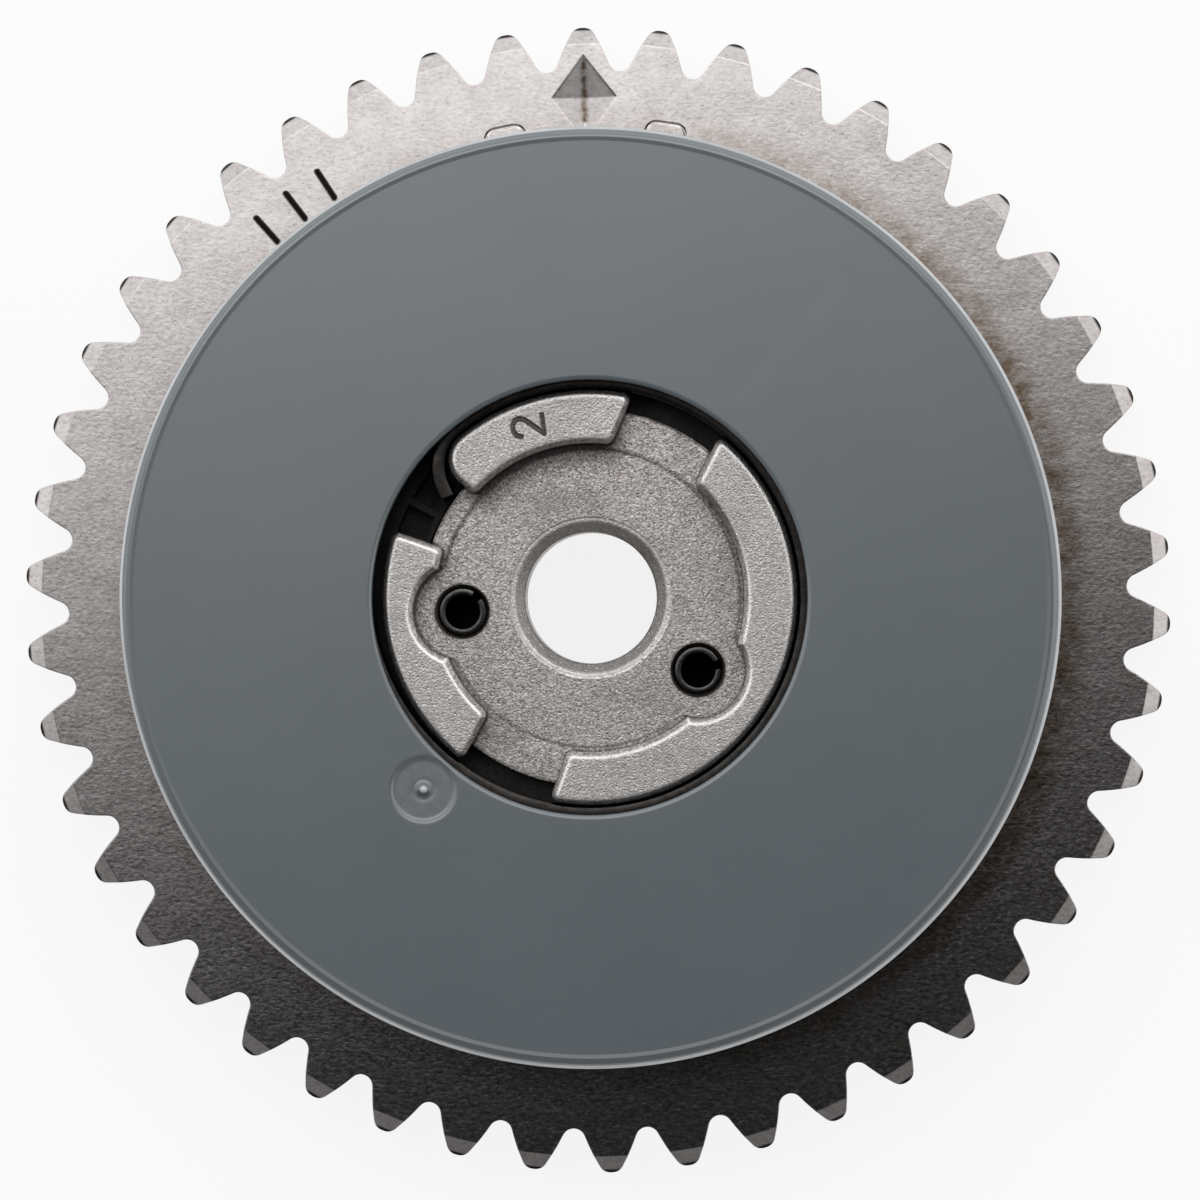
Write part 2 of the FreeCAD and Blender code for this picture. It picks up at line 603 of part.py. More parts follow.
def make_housing():
    body = add_body("stator_housing")
    bore, outside, edge = size("chamber_radius"), housing_radius, size("housing_bevel")
    revolve(body, "wall", [
        (bore, sprocket_front), (outside - edge, sprocket_front), (outside, sprocket_front + edge),
        (outside, plate_rear - edge), (outside - edge, plate_rear), (bore, plate_rear),
    ])
    lobe_sketch = add_sketch(body, "lobe", height=sprocket_front)
    half = size("lobe_angle") / 2
    low, high = first_lobe_angle - half, first_lobe_angle + half
    draw_sector(lobe_sketch, lobe_tip_radius, bore + overlap, (low, low), (high, high))
    lobe = pad(body, "lobe", lobe_sketch, size("housing_length"))
    slot_sketch = add_sketch(body, "seal_slot", height=plate_rear)
    slot_floor = lobe_tip_radius + size("lobe_slot_depth")
    draw_slot(slot_sketch, lobe_tip_radius - overlap, slot_floor, first_lobe_angle, size("seal_width"))
    slot = pocket(body, "seal_slot", slot_sketch, size("housing_length"))
    hole_sketch = add_sketch(body, "bolt_hole", height=plate_rear)
    bolt_place = polar(bolt_circle_radius, first_lobe_angle)
    draw_circle(hole_sketch, bolt_place, size("bolt_diameter") / 2 + size("bolt_clearance"))
    hole = pocket(body, "bolt_hole", hole_sketch, size("housing_length"))
    ring_pattern(body, "lobes", [lobe, slot, hole], size("vane_count"))
    dowel = add_sketch(body, "dowel_hole", height=sprocket_front)
    draw_circle(dowel, polar(dowel_place_radius, dowel_angle), size("dowel_radius"))
    pocket(body, "dowel_hole", dowel, size("dowel_length") / 2 + size("spare_depth"), backwards=True)
    return body


def draw_slot(sketch, inner, outer, angle, width):
    # Parallel-sided slot along a radius.
    out, across = polar(as_size(1), angle)
    half = width / 2
    corners = []
    for radius, side in ((inner, -half), (outer, -half), (outer, half), (inner, half)):
        corners.append((radius * out - side * across, radius * across + side * out))
    draw_polygon(sketch, corners)


def make_front_plate(anchor_place):
    body = add_body("front_plate")
    bore, outside = size("journal_radius"), front_plate_radius
    edge = size("front_plate_bevel")
    revolve(body, "disc", [
        (bore, plate_rear), (outside - edge, plate_rear), (outside, plate_rear + edge),
        (outside, plate_front - edge), (outside - edge, plate_front), (bore + edge, plate_front),
        (bore, plate_front - edge),
    ])
    hole_sketch = add_sketch(body, "bolt_hole", height=plate_front)
    bolt_place = polar(bolt_circle_radius, first_lobe_angle)
    draw_circle(hole_sketch, bolt_place, size("bolt_diameter") / 2 + size("bolt_clearance"))
    hole = pocket(body, "bolt_hole", hole_sketch, size("front_plate_thickness"))
    ring_pattern(body, "bolt_holes", [hole], size("vane_count"))
    anchor = add_sketch(body, "anchor_hole", height=plate_front)
    draw_circle(anchor, anchor_place, size("anchor_radius"))
    pocket(body, "anchor_hole", anchor, size("front_plate_thickness"))
    cut_tang_pockets(body)
    return body


def cut_tang_pockets(body):
    # Two blind pockets beside the tang, with a web between them.
    pockets = add_sketch(body, "tang_pockets", height=plate_front)
    middle, half = size("tang_pocket_radius"), size("tang_pocket_width") / 2
    split, half_web = size("tang_pocket_split"), size("tang_pocket_web") / 2
    spans = ((size("tang_pocket_start"), split - half_web), (split + half_web, size("tang_pocket_end")))
    for low, high in spans:
        draw_sector(pockets, middle - half, middle + half, (low, low), (high, high))
    pocket(body, "tang_pockets", pockets, size("tang_pocket_depth"))


def make_housing_bolt(label, angle):
    body = add_body(label)
    shank, flange = size("bolt_diameter") / 2, size("bolt_head_radius")
    bevel, rim = size("bolt_bevel"), size("bolt_flange_height")
    head = flange - rim
    seat, top = plate_front, plate_front + size("bolt_head_height")
    revolve(body, "turned", [
        (zero, bevel), (shank - bevel, bevel), (shank, bevel * 2), (shank, seat),
        (flange, seat), (flange, seat + rim / 2), (head, seat + rim), (head, top - bevel / 2),
        (head - bevel / 2, top), (zero, top),
    ])
    socket = add_sketch(body, "socket", height=top)
    corner = size("socket_width") / math.sqrt(3)
    draw_polygon(socket, [polar(corner, as_size(60 * i)) for i in range(6)])
    pocket(body, "socket", socket, size("socket_depth"))
    place_piece(body, polar(bolt_circle_radius, angle), zero)
    return body


# Rotor


def make_rotor():
    body = add_body("rotor")
    hub, pilot, gallery = size("rotor_hub_radius"), size("pilot_radius"), size("gallery_radius")
    register = size("register_radius")
    rear, floor, lead = size("rear_recess"), size("pilot_floor"), size("pilot_bevel")
    register_floor = rotor_front - size("register_height")
    revolve(body, "hub", [
        (pilot + lead, rear), (turning_radius, rear), (turning_radius, rotor_rear), (hub, rotor_rear),
        (hub, rotor_front), (register, rotor_front), (register, register_floor),
        (gallery, register_floor), (gallery, floor), (pilot, floor), (pilot, rear + lead),
    ])
    half = size("vane_angle") / 2
    low, high = first_vane_angle - half, first_vane_angle + half
    vane_sketch = add_sketch(body, "vane", height=rotor_rear)
    draw_sector(vane_sketch, hub - overlap, vane_tip_radius, (low, low), (high, high))
    vane = pad(body, "vane", vane_sketch, rotor_length)
    slot_sketch = add_sketch(body, "seal_slot", height=rotor_front)
    draw_slot(slot_sketch, vane_slot_floor, vane_tip_radius + overlap, first_vane_angle, size("seal_width"))
    slot = pocket(body, "seal_slot", slot_sketch, rotor_length)
    holes = [drill_oil_hole(body, "retard", -1), drill_oil_hole(body, "advance", 1)]
    ring_pattern(body, "vanes", [vane, slot] + holes, size("vane_count"))
    bore_lock_pin_seat(body)
    pins = add_sketch(body, "roll_pins", height=rotor_front)
    for angle in pin_angles:
        draw_circle(pins, polar(size("roll_pin_place_radius"), angle), size("roll_pin_radius"))
    pocket(body, "roll_pins", pins, size("roll_pin_depth") + size("spare_depth"))
    cam_pin = add_sketch(body, "cam_pin", height=floor)
    cam_pin_place = polar(size("cam_pin_place_radius"), size("mark_angle"))
    draw_circle(cam_pin, cam_pin_place, size("cam_pin_radius"))
    pocket(body, "cam_pin", cam_pin, size("cam_pin_depth"), backwards=True)
    return body


def drill_oil_hole(body, name, side):
    # Radial hole beside a vane. The sketch stands upright across the hole's own radius.
    angle = first_vane_angle + size("oil_hole_angle") * side
    sketch = add_sketch(body, f"{name}_hole", "YZ_Plane")
    about = FreeCAD.Rotation(FreeCAD.Vector(0, 1, 0), angle.number)
    sketch.AttachmentOffset = FreeCAD.Placement(FreeCAD.Vector(0, 0, 0), about)
    sketch.setExpression("AttachmentOffset.Rotation.Angle", angle.formula)
    draw_circle(sketch, (zero, size(f"{name}_hole_height")), size("oil_hole_radius"))
    return pocket(body, f"{name}_hole", sketch, size("rotor_hub_radius") + overlap, backwards=True)


def bore_lock_pin_seat(body):
    place = polar(lock_place_radius, lock_angle)
    bore = add_sketch(body, "lock_bore", height=rotor_front)
    draw_circle(bore, place, size("lock_bore_radius"))
    pocket(body, "lock_bore", bore, rotor_length)
    seat = add_sketch(body, "lock_cap_seat", height=rotor_front)
    draw_circle(seat, place, size("lock_cap_radius"))
    pocket(body, "lock_cap_seat", seat, size("lock_cap_thickness"))


def make_lock_pin():
    body = add_body("lock_pin")
    nose, guide = size("lock_nose_radius"), size("lock_bore_radius") - size("running_gap")
    length, step = size("lock_pin_length"), size("lock_nose_length")
    bore, seat, lead = size("lock_spring_bore"), size("lock_spring_seat"), size("lock_bevel")
    revolve(body, "turned", [
        (zero, zero), (nose - lead, zero), (nose, lead), (nose, step), (guide - lead, step),
        (guide, step + lead), (guide, length - lead), (guide - lead, length), (bore, length),
        (bore, seat), (zero, seat),
    ])
    place_piece(body, polar(lock_place_radius, lock_angle), sprocket_front + size("lock_pin_lift"))
    return body


def make_lock_cap():
    body = add_body("lock_spring_cap")
    outer, thickness = size("lock_cap_radius"), size("lock_cap_thickness")
    vent = size("lock_cap_vent")
    revolve(body, "disc", [(vent, zero), (outer, zero), (outer, thickness), (vent, thickness)])
    place_piece(body, polar(lock_place_radius, lock_angle), rotor_front - thickness)
    return body


def make_lock_spring():
    # Open coil between the floor of the pin's bore and the cap.
    wire = size("lock_wire_radius")
    coil = size("lock_spring_bore") - wire - size("lock_spring_clearance")
    bottom = sprocket_front + size("lock_pin_lift") + size("lock_spring_seat") + wire
    top = rotor_front - size("lock_cap_thickness") - wire
    turns = size("lock_spring_turns")
    helix = doc.addObject("Part::Helix", "lock_spring_path")
    helix.Radius = coil.number
    helix.setExpression("Radius", coil.formula)
    height = top - bottom
    helix.Height = height.number
    helix.setExpression("Height", height.formula)
    pitch = height / turns
    helix.Pitch = pitch.number
    helix.setExpression("Pitch", pitch.formula)
    section = doc.addObject("Part::Circle", "lock_spring_wire")
    section.Radius = wire.number
    section.setExpression("Radius", wire.formula)
    quarter = FreeCAD.Rotation(FreeCAD.Vector(1, 0, 0), 90)
    section.Placement = FreeCAD.Placement(FreeCAD.Vector(coil.number, 0, 0), quarter)
    section.setExpression("Placement.Base.x", coil.formula)
    doc.recompute()
    spring = doc.addObject("Part::Sweep", "lock_pin_spring")
    spring.Sections = [section]
    spring.Spine = (helix, [])
    spring.Solid = True
    spring.Frenet = True
    spring.Label = "lock_pin_spring"
    place_piece(spring, polar(lock_place_radius, lock_angle), bottom)
    doc.recompute()
    return spring


# Seals and their leaf springs


def make_seal(label, inner_radius, angle):
    seal = doc.addObject("Part::Box", label)
    seal.Label = label
    gap = size("seal_gap")
    width = size("seal_width") - gap * 2
    for measure, value in (("Length", size("seal_height")), ("Width", width), ("Height", rotor_length)):
        setattr(seal, measure, value.number)
        seal.setExpression(measure, value.formula)
    out, across = polar(as_size(1), angle)
    corner = (inner_radius * out + width / 2 * across, inner_radius * across - width / 2 * out)
    up = FreeCAD.Vector(0, 0, 1)
    base = vector(corner) + FreeCAD.Vector(0, 0, rotor_rear.number)
    seal.Placement = FreeCAD.Placement(base, FreeCAD.Rotation(up, angle.number))
    for axis, value in zip("xyz", (*corner, rotor_rear)):
        seal.setExpression(f"Placement.Base.{axis}", value.formula)
    seal.setExpression("Placement.Rotation.Angle", angle.formula)
    return seal


def make_leaf_spring(label, foot_radius, crown_radius, angle):
    # Bowed strip whose two ends press on the slot's floor and whose crown on the seal.
    body = add_body(label)
    sketch = add_sketch(body, "bow", "XZ_Plane")
    inset = size("leaf_inset").number
    thickness = size("leaf_thickness").number
    way = 1 if crown_radius.number > foot_radius.number else -1
    low, high = rotor_rear.number + inset, rotor_front.number - inset
    middle = (low + high) / 2
    foot, crown = foot_radius.number, crown_radius.number

    def point(radius, height):
        return FreeCAD.Vector(radius, height, 0)

    step = way * thickness
    near = Part.Arc(point(foot, low), point(crown - step, middle), point(foot, high))
    far = Part.Arc(point(foot + step, low), point(crown, middle), point(foot + step, high))
    ends = [Part.LineSegment(near.StartPoint, far.StartPoint), Part.LineSegment(near.EndPoint, far.EndPoint)]
    sketch.addGeometry([near, far] + ends, False)
    strip = body.newObject("PartDesign::Pad", f"{label}_strip")
    strip.Profile = sketch
    strip.SideType = "Symmetric"
    width = size("leaf_width")
    strip.Length = width.number
    strip.setExpression("Length", width.formula)
    sketch.Visibility = False
    turn_piece(body, angle)
    doc.recompute()
    return body


def make_seals():
    gap = size("seal_gap")
    vane_seal = size("chamber_radius") - gap - size("seal_height")
    lobe_floor = lobe_tip_radius + size("lobe_slot_depth")
    lobe_seal = size("rotor_hub_radius") + gap
    pieces = []
    for i in range(int(size("vane_count").number)):
        turn = vane_pitch * i
        vane_at, lobe_at = first_vane_angle + turn, first_lobe_angle + turn
        pieces.append(make_seal(f"vane_seal_{i + 1}", vane_seal, vane_at))
        foot, crown = vane_slot_floor + gap, vane_seal - gap
        pieces.append(make_leaf_spring(f"vane_seal_spring_{i + 1}", foot, crown, vane_at))
        pieces.append(make_seal(f"lobe_seal_{i + 1}", lobe_seal, lobe_at))
        foot, crown = lobe_floor - gap, lobe_seal + size("seal_height") + gap
        pieces.append(make_leaf_spring(f"lobe_seal_spring_{i + 1}", foot, crown, lobe_at))
    return pieces


# Spring carrier with its lugs, and the slotted pins


def make_spring_carrier():
    body = add_body("spring_carrier")
    bore, bevel = size("bolt_bore_radius"), size("bolt_bore_bevel")
    register = size("register_radius") - size("running_gap")
    register_floor = rotor_front - size("register_height") + size("side_gap")
    under = plate_front + size("carrier_lift")
    disc, step = size("carrier_radius"), size("face_step_radius")
    revolve(body, "disc", [
        (bore, register_floor), (register, register_floor), (register, rotor_front),
        (turning_radius, rotor_front), (turning_radius, under), (disc, under), (disc, carrier_face),
        (step, carrier_face), (step, carrier_floor), (bore + bevel, carrier_floor),
        (bore, carrier_floor - bevel),
    ])
    # Each lug has an angle at the inside and one at the outside, for its start and its end.
    lug_ends = (
        ((size("top_lug_start"), size("top_lug_start_outside")),
         (size("top_lug_end"), size("top_lug_end"))),
        ((size("left_lug_start"), size("left_lug_start")),
         (size("left_lug_end"), size("left_lug_end_outside"))),
        ((size("right_lug_start"), size("right_lug_start_outside")),
         (size("right_lug_end"), size("right_lug_end_outside"))),
    )
    recess = add_sketch(body, "tang_recess", height=carrier_face)
    low = size("top_lug_end") - size("tang_recess_spare")
    high = size("left_lug_start") + size("tang_recess_spare")
    draw_sector(recess, size("tang_recess_radius"), disc + overlap, (low, low), (high, high))
    pocket(body, "tang_recess", recess, carrier_face - under)
    outline = add_sketch(body, "lugs", height=under)
    for starts, ends in lug_ends:
        draw_sector(outline, size("lug_inner_radius"), size("lug_outer_radius"), starts, ends)
    pad(body, "lugs", outline, lug_top - under)
    reliefs = add_sketch(body, "reliefs", height=lug_top)
    for angle in pin_angles:
        draw_circle(reliefs, polar(size("roll_pin_place_radius"), angle), size("lug_relief_radius"))
    pocket(body, "reliefs", reliefs, lug_top - carrier_floor)
    round_lugs(body, lug_ends)
    holes = add_sketch(body, "pin_holes", height=carrier_floor)
    for angle in pin_angles:
        draw_circle(holes, polar(size("roll_pin_place_radius"), angle), size("roll_pin_radius"))
    pocket(body, "pin_holes", holes, carrier_floor - rotor_front)
    radius = size("roll_pin_radius").number

    def is_pin_mouth(edge):
        if not lies_at_height(edge, carrier_floor) or edge.Curve.TypeId != "Part::GeomCircle":
            return False
        return abs(edge.Curve.Radius - radius) < 0.001

    dress(body, "PartDesign::Chamfer", "pin_mouths", is_pin_mouth, size("roll_pin_bevel"))
    return body


def round_lugs(body, lug_ends):
    heel = vector(polar(size("lug_outer_radius"), lug_ends[0][1][1]))
    dress(body, "PartDesign::Fillet", "heel", lambda edge: is_upright_at(edge, heel),
          size("lug_heel_rounding"))
    corners = []
    for starts, ends in lug_ends:
        for at_inner, at_outer in (starts, ends):
            corners.append(vector(polar(size("lug_inner_radius"), at_inner)))
            corners.append(vector(polar(size("lug_outer_radius"), at_outer)))
    corners.remove(heel)

    def is_corner(edge):
        return any(is_upright_at(edge, corner) for corner in corners)

    dress(body, "PartDesign::Fillet", "corners", is_corner, size("lug_rounding"))
    dress(body, "PartDesign::Chamfer", "lug_rims", lambda edge: lies_at_height(edge, lug_top),
          size("lug_bevel"))


def make_roll_pin(label, angle, slot_angle):
    # Tube rolled from spring steel, with bevelled ends and a slot down one side.
    body = add_body(label)
    outer, bevel = size("roll_pin_radius"), size("roll_pin_bevel")
    inner = outer - size("roll_pin_wall")
    length = carrier_floor - size("roll_pin_sink") - rotor_front + size("roll_pin_depth")
    revolve(body, "tube", [
        (inner, zero), (outer - bevel, zero), (outer, bevel), (outer, length - bevel),
        (outer - bevel, length), (inner, length),
    ])
    slot = add_sketch(body, "slot", height=length)
    draw_slot(slot, inner / 2, outer + overlap, slot_angle, size("roll_pin_slot"))
    pocket(body, "slot", slot, length)
    place_piece(body, polar(size("roll_pin_place_radius"), angle), rotor_front - size("roll_pin_depth"))
    return body


# Bias spring and its anchor


def spring_route():
    # Middle line of the band from the end of the tang to the end of the hook, as arcs
    # (centre, radius, first angle, last angle). Half turns with two centres make the
    # spiral grow, and each arc starts where the one before it ends, in line with it.
    coil = size("lug_outer_radius").number + size("coil_gap").number + size("band_thickness").number / 2
    grow = size("band_step").number
    origin = FreeCAD.Vector(0, 0, 0)
    start = size("tang_angle").number
    bend = size("tang_radius").number
    arcs = [(turned(coil - bend, start), bend, start + size("tang_sweep").number, start)]
    angle = start - size("first_coil_angle").number
    arcs.append((origin, coil, start, angle))
    other = turned(-grow, angle)
    half_turns = int(size("half_turn_count").number)
    for half_turn in range(1, half_turns + 1):
        centre = other if half_turn % 2 else origin
        arcs.append((centre, coil + half_turn * grow, angle, angle - 180))
        angle -= 180
    radius = coil + (half_turns + 1) * grow
    end = angle - size("last_coil_angle").number
    arcs.append((origin, radius, angle, end))
    hook = size("anchor_radius").number + size("anchor_gap").number + size("band_thickness").number / 2
    anchor = turned(radius + hook, end)
    arcs.append((anchor, hook, end + 180, end + 180 + size("hook_sweep").number))
    return arcs, anchor


def band_edges(arcs, offset):
    # Line beside the middle line: arcs that run clockwise grow by the offset, and the
    # hook, which runs the other way, shrinks by it.
    edges = []
    for centre, radius, first, last in arcs:
        reach = radius + offset if last < first else radius - offset
        middle = (first + last) / 2
        points = [centre + turned(reach, angle) for angle in (first, middle, last)]
        edges.append(Part.Arc(*points).toShape())
    return edges


def make_bias_spring(arcs):
    half = size("band_thickness").number / 2
    outer, inner = band_edges(arcs, half), band_edges(arcs, -half)
    tang_end_angle = arcs[0][2]
    along = turned(size("tang_length").number, tang_end_angle + 90)
    tang = []
    for edge in (outer[0], inner[0]):
        corner = edge.Vertexes[0].Point
        tang.append((corner, corner + along))
    closing = [
        Part.LineSegment(*tang[0]).toShape(),
        Part.LineSegment(tang[0][1], tang[1][1]).toShape(),
        Part.LineSegment(*tang[1]).toShape(),
        Part.LineSegment(outer[-1].Vertexes[-1].Point, inner[-1].Vertexes[-1].Point).toShape(),
    ]
    wire = Part.Wire(Part.__sortEdges__(outer + inner + closing))
    spring = doc.addObject("Part::Feature", "bias_spring")
    spring.Label = "bias_spring"
    spring.Shape = Part.Face(wire).extrude(FreeCAD.Vector(0, 0, size("band_width").number))
    height = plate_front + size("band_lift")
    spring.Placement = FreeCAD.Placement(FreeCAD.Vector(0, 0, height.number), FreeCAD.Rotation())
    spring.setExpression("Placement.Base.z", height.formula)
    return spring


def make_anchor_pin(place):
    body = add_body("spring_anchor_pin")
    radius, length, lead = size("anchor_radius"), size("anchor_length"), size("anchor_bevel")
    revolve(body, "pin", [
        (zero, zero), (radius - lead, zero), (radius, lead), (radius, length - lead),
        (radius - lead, length), (zero, length),
    ])
    place_piece(body, place, plate_rear + size("anchor_lift"))
    return body


# Cover


def make_cover():
    body = add_body("spring_cover")
    outside, opening, wall = cover_radius, cover_opening_radius, size("cover_wall")
    skirt_end = cover_top - size("cover_skirt")
    revolve(body, "shell", [
        (opening, cover_top - wall), (outside - wall, cover_top - wall), (outside - wall, skirt_end),
        (outside, skirt_end), (outside, cover_top), (opening, cover_top),
    ])

    def is_top_circle(edge, radius):
        return lies_at_height(edge, cover_top) and abs(edge.Curve.Radius - radius.number) < 0.01

    dress(body, "PartDesign::Fillet", "shoulder", lambda edge: is_top_circle(edge, outside),
          size("cover_shoulder"))
    dress(body, "PartDesign::Fillet", "lip", lambda edge: is_top_circle(edge, opening),
          size("cover_lip"))
    add_clips(body, skirt_end)
    place = polar(size("gate_place_radius"), size("gate_angle"))
    gate = add_sketch(body, "gate", height=cover_top)
    draw_circle(gate, place, size("gate_radius"))
    pocket(body, "gate", gate, size("gate_depth"))
    nib = add_sketch(body, "nib", height=cover_top - size("gate_depth"))
    draw_circle(nib, place, size("gate_nib_radius"))
    pad(body, "nib", nib, size("gate_nib_height"))
    nib_top = cover_top - size("gate_depth") + size("gate_nib_height")
    dress(body, "PartDesign::Fillet", "nib_crown", lambda edge: lies_at_height(edge, nib_top),
          size("gate_nib_rounding"))
    return body


def add_clips(body, skirt_end):
    # Each clip goes on below the skirt and hooks under the rim of the front plate.
    inside, outside = cover_radius - size("cover_wall"), cover_radius
    half = size("clip_angle") / 2
    centre = first_lobe_angle + vane_pitch / 2
    low, high = centre - half, centre + half
    arm_end = skirt_end - size("clip_length")
    arm = add_sketch(body, "clip_arm", height=arm_end)
    draw_sector(arm, inside, outside, (low, low), (high, high))
    arm_pad = pad(body, "clip_arm", arm, size("clip_length"))
    hook_height = plate_rear - size("clip_gap") - arm_end
    hook = add_sketch(body, "clip_hook", height=arm_end)
    draw_sector(hook, inside - size("clip_hook"), inside + size("cover_wall") / 2, (low, low), (high, high))
    hook_pad = pad(body, "clip_hook", hook, hook_height)
    ring_pattern(body, "clips", [arm_pad, hook_pad], size("clip_count"))


def check(pieces):
    for item in doc.Objects:
        if "Invalid" in item.State or "Error" in item.State:
            raise RuntimeError(f"{item.Label} is {item.State}")
    for piece in pieces:
        shape = piece.Shape
        if shape.isNull() or not shape.isValid() or len(shape.Solids) != 1:
            raise RuntimeError(f"{piece.Label} is not one valid solid")
        print(f"{piece.Label}: {shape.Volume:.1f} mm3, {len(shape.Faces)} faces")


def build():
    arcs, anchor = spring_route()
    anchor_place = (as_size(anchor.x), as_size(anchor.y))
    pieces = [
        make_sprocket(), make_lock_bush(), make_housing_dowel(), make_housing(),
        make_front_plate(anchor_place), make_rotor(), make_lock_pin(), make_lock_cap(),
        make_lock_spring(), make_spring_carrier(),
        make_roll_pin("roll_pin_left", pin_angles[0], size("left_slot_angle")),
        make_roll_pin("roll_pin_right", pin_angles[1], size("right_slot_angle")),
        make_bias_spring(arcs), make_anchor_pin(anchor_place), make_cover(),
    ]
    for i in range(int(size("vane_count").number)):
        pieces.append(make_housing_bolt(f"housing_bolt_{i + 1}", first_lobe_angle + vane_pitch * i))
    pieces += make_seals()
    doc.recompute()
    check(pieces)
    os.makedirs("parts", exist_ok=True)
    for piece in pieces:
        piece.Shape.exportStep(f"parts/{piece.Label}.step")


build()
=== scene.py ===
import json
import math

import bpy
import numpy as np
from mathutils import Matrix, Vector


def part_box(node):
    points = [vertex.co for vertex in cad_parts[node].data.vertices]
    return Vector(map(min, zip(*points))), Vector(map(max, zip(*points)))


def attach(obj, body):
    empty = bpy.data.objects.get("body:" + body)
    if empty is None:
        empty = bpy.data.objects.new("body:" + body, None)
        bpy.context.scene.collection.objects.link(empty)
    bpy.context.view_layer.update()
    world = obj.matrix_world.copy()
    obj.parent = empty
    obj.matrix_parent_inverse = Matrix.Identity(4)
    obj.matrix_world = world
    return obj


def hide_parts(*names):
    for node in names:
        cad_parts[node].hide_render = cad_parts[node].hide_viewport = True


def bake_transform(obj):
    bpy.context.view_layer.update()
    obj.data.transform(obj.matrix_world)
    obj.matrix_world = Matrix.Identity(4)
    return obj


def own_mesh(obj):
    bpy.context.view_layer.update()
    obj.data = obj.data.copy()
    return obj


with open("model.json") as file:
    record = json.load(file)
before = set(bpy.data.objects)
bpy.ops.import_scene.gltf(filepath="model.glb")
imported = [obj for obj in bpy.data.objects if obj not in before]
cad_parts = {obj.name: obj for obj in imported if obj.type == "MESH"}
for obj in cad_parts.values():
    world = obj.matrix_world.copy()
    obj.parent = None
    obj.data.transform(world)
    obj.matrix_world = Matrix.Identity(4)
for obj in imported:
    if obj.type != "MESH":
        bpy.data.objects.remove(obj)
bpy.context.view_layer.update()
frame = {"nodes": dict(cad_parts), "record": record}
nodes = frame["nodes"]
print("frame loaded,", len(nodes), "nodes")

mm = 0.001  # shapes are worked out in millimetres and become metres in addPiece
creaseAngle = 40  # degrees; sharper bends of a piece stay sharp


def boxOf(node):
    # Lowest and highest corner of a CAD node, in millimetres.
    return [np.array(corner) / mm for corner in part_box(node)]


def polar(radius, angle):
    # Point or points at a radius and an angle in degrees, as x and y.
    turn = np.radians(angle)
    return np.stack([radius * np.cos(turn), radius * np.sin(turn)], axis=-1)


sprocketFace = boxOf("sprocket")[1][2]
lugTop = boxOf("spring_carrier")[1][2]


# Surfaces from arrays

def gridFaces(rows, columns, joinRows, joinColumns):
    # Quads between neighbouring rows and columns of a grid of points; a joined side runs
    # round from its last line to its first.
    row = np.arange(rows if joinRows else rows - 1)[:, None]
    column = np.arange(columns if joinColumns else columns - 1)[None, :]
    nextRow, nextColumn = (row + 1) % rows, (column + 1) % columns
    corners = [row * columns + column, row * columns + nextColumn,
               nextRow * columns + nextColumn, nextRow * columns + column]
    return np.stack(np.broadcast_arrays(*corners), axis=-1).reshape(-1, 4)


def addPiece(name, points, faces, slot, body, replaced):
    # Points in millimetres, one row of three numbers each.
    mesh = bpy.data.meshes.new(name)
    mesh.from_pydata((np.asarray(points) * mm).tolist(), [], faces)
    mesh.polygons.foreach_set("use_smooth", np.ones(len(mesh.polygons), bool))
    mesh.set_sharp_from_angle(angle=math.radians(creaseAngle))
    mesh.materials.append(looks[slot])
    piece = bpy.data.objects.new(name, mesh)
    bpy.context.scene.collection.objects.link(piece)
    if body:
        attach(piece, body)
    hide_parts(replaced)
    return piece


def roundedLoop(corners, radii, steps):
    # Closed outline whose corners are arcs: each arc starts and ends where its circle
    # touches the two sides, at radius / tan(half the angle between them) from the corner.
    corners = np.asarray(corners, float)
    before, after = np.roll(corners, 1, axis=0), np.roll(corners, -1, axis=0)
    toBefore = (before - corners) / np.linalg.norm(before - corners, axis=1, keepdims=True)
    toAfter = (after - corners) / np.linalg.norm(after - corners, axis=1, keepdims=True)
    half = np.arccos(np.clip((toBefore * toAfter).sum(1), -1, 1)) / 2
    radii = np.broadcast_to(np.asarray(radii, float), half.shape)
    reach = (radii / np.tan(half))[:, None]
    middle = toBefore + toAfter
    middle /= np.linalg.norm(middle, axis=1, keepdims=True)
    centre = corners + middle * (radii / np.sin(half))[:, None]
    first, last = corners + toBefore * reach - centre, corners + toAfter * reach - centre
    turn = np.linspace(0, 1, steps)[None, :, None]
    spread = (math.pi - 2 * half)[:, None, None]
    weights = [np.sin((1 - turn) * spread), np.sin(turn * spread)]
    arc = (first[:, None] * weights[0] + last[:, None] * weights[1]) / np.sin(spread)
    return (centre[:, None] + arc).reshape(-1, 2)


def turnedSurface(profile, angles):
    # The closed profile of (radius, height) at every angle round Z: row i is point i of
    # the profile, column j is angle j.
    flat = polar(profile[:, :1], angles[None, :])
    height = np.broadcast_to(profile[:, 1:], flat.shape[:2])[..., None]
    return np.concatenate([flat, height], axis=2)


def sectorPiece(profile, start, end, steps, centre=(0, 0)):
    # Part of a turned ring between two angles, closed with the profile at both ends.
    angles = np.linspace(start, end, steps)
    grid = turnedSurface(profile, angles)
    grid[..., :2] += centre
    rows, columns = grid.shape[:2]
    faces = gridFaces(rows, columns, True, False).tolist()
    faces.append([row * columns for row in range(rows)])
    faces.append([row * columns + columns - 1 for row in reversed(range(rows))])
    return grid.reshape(-1, 3), faces


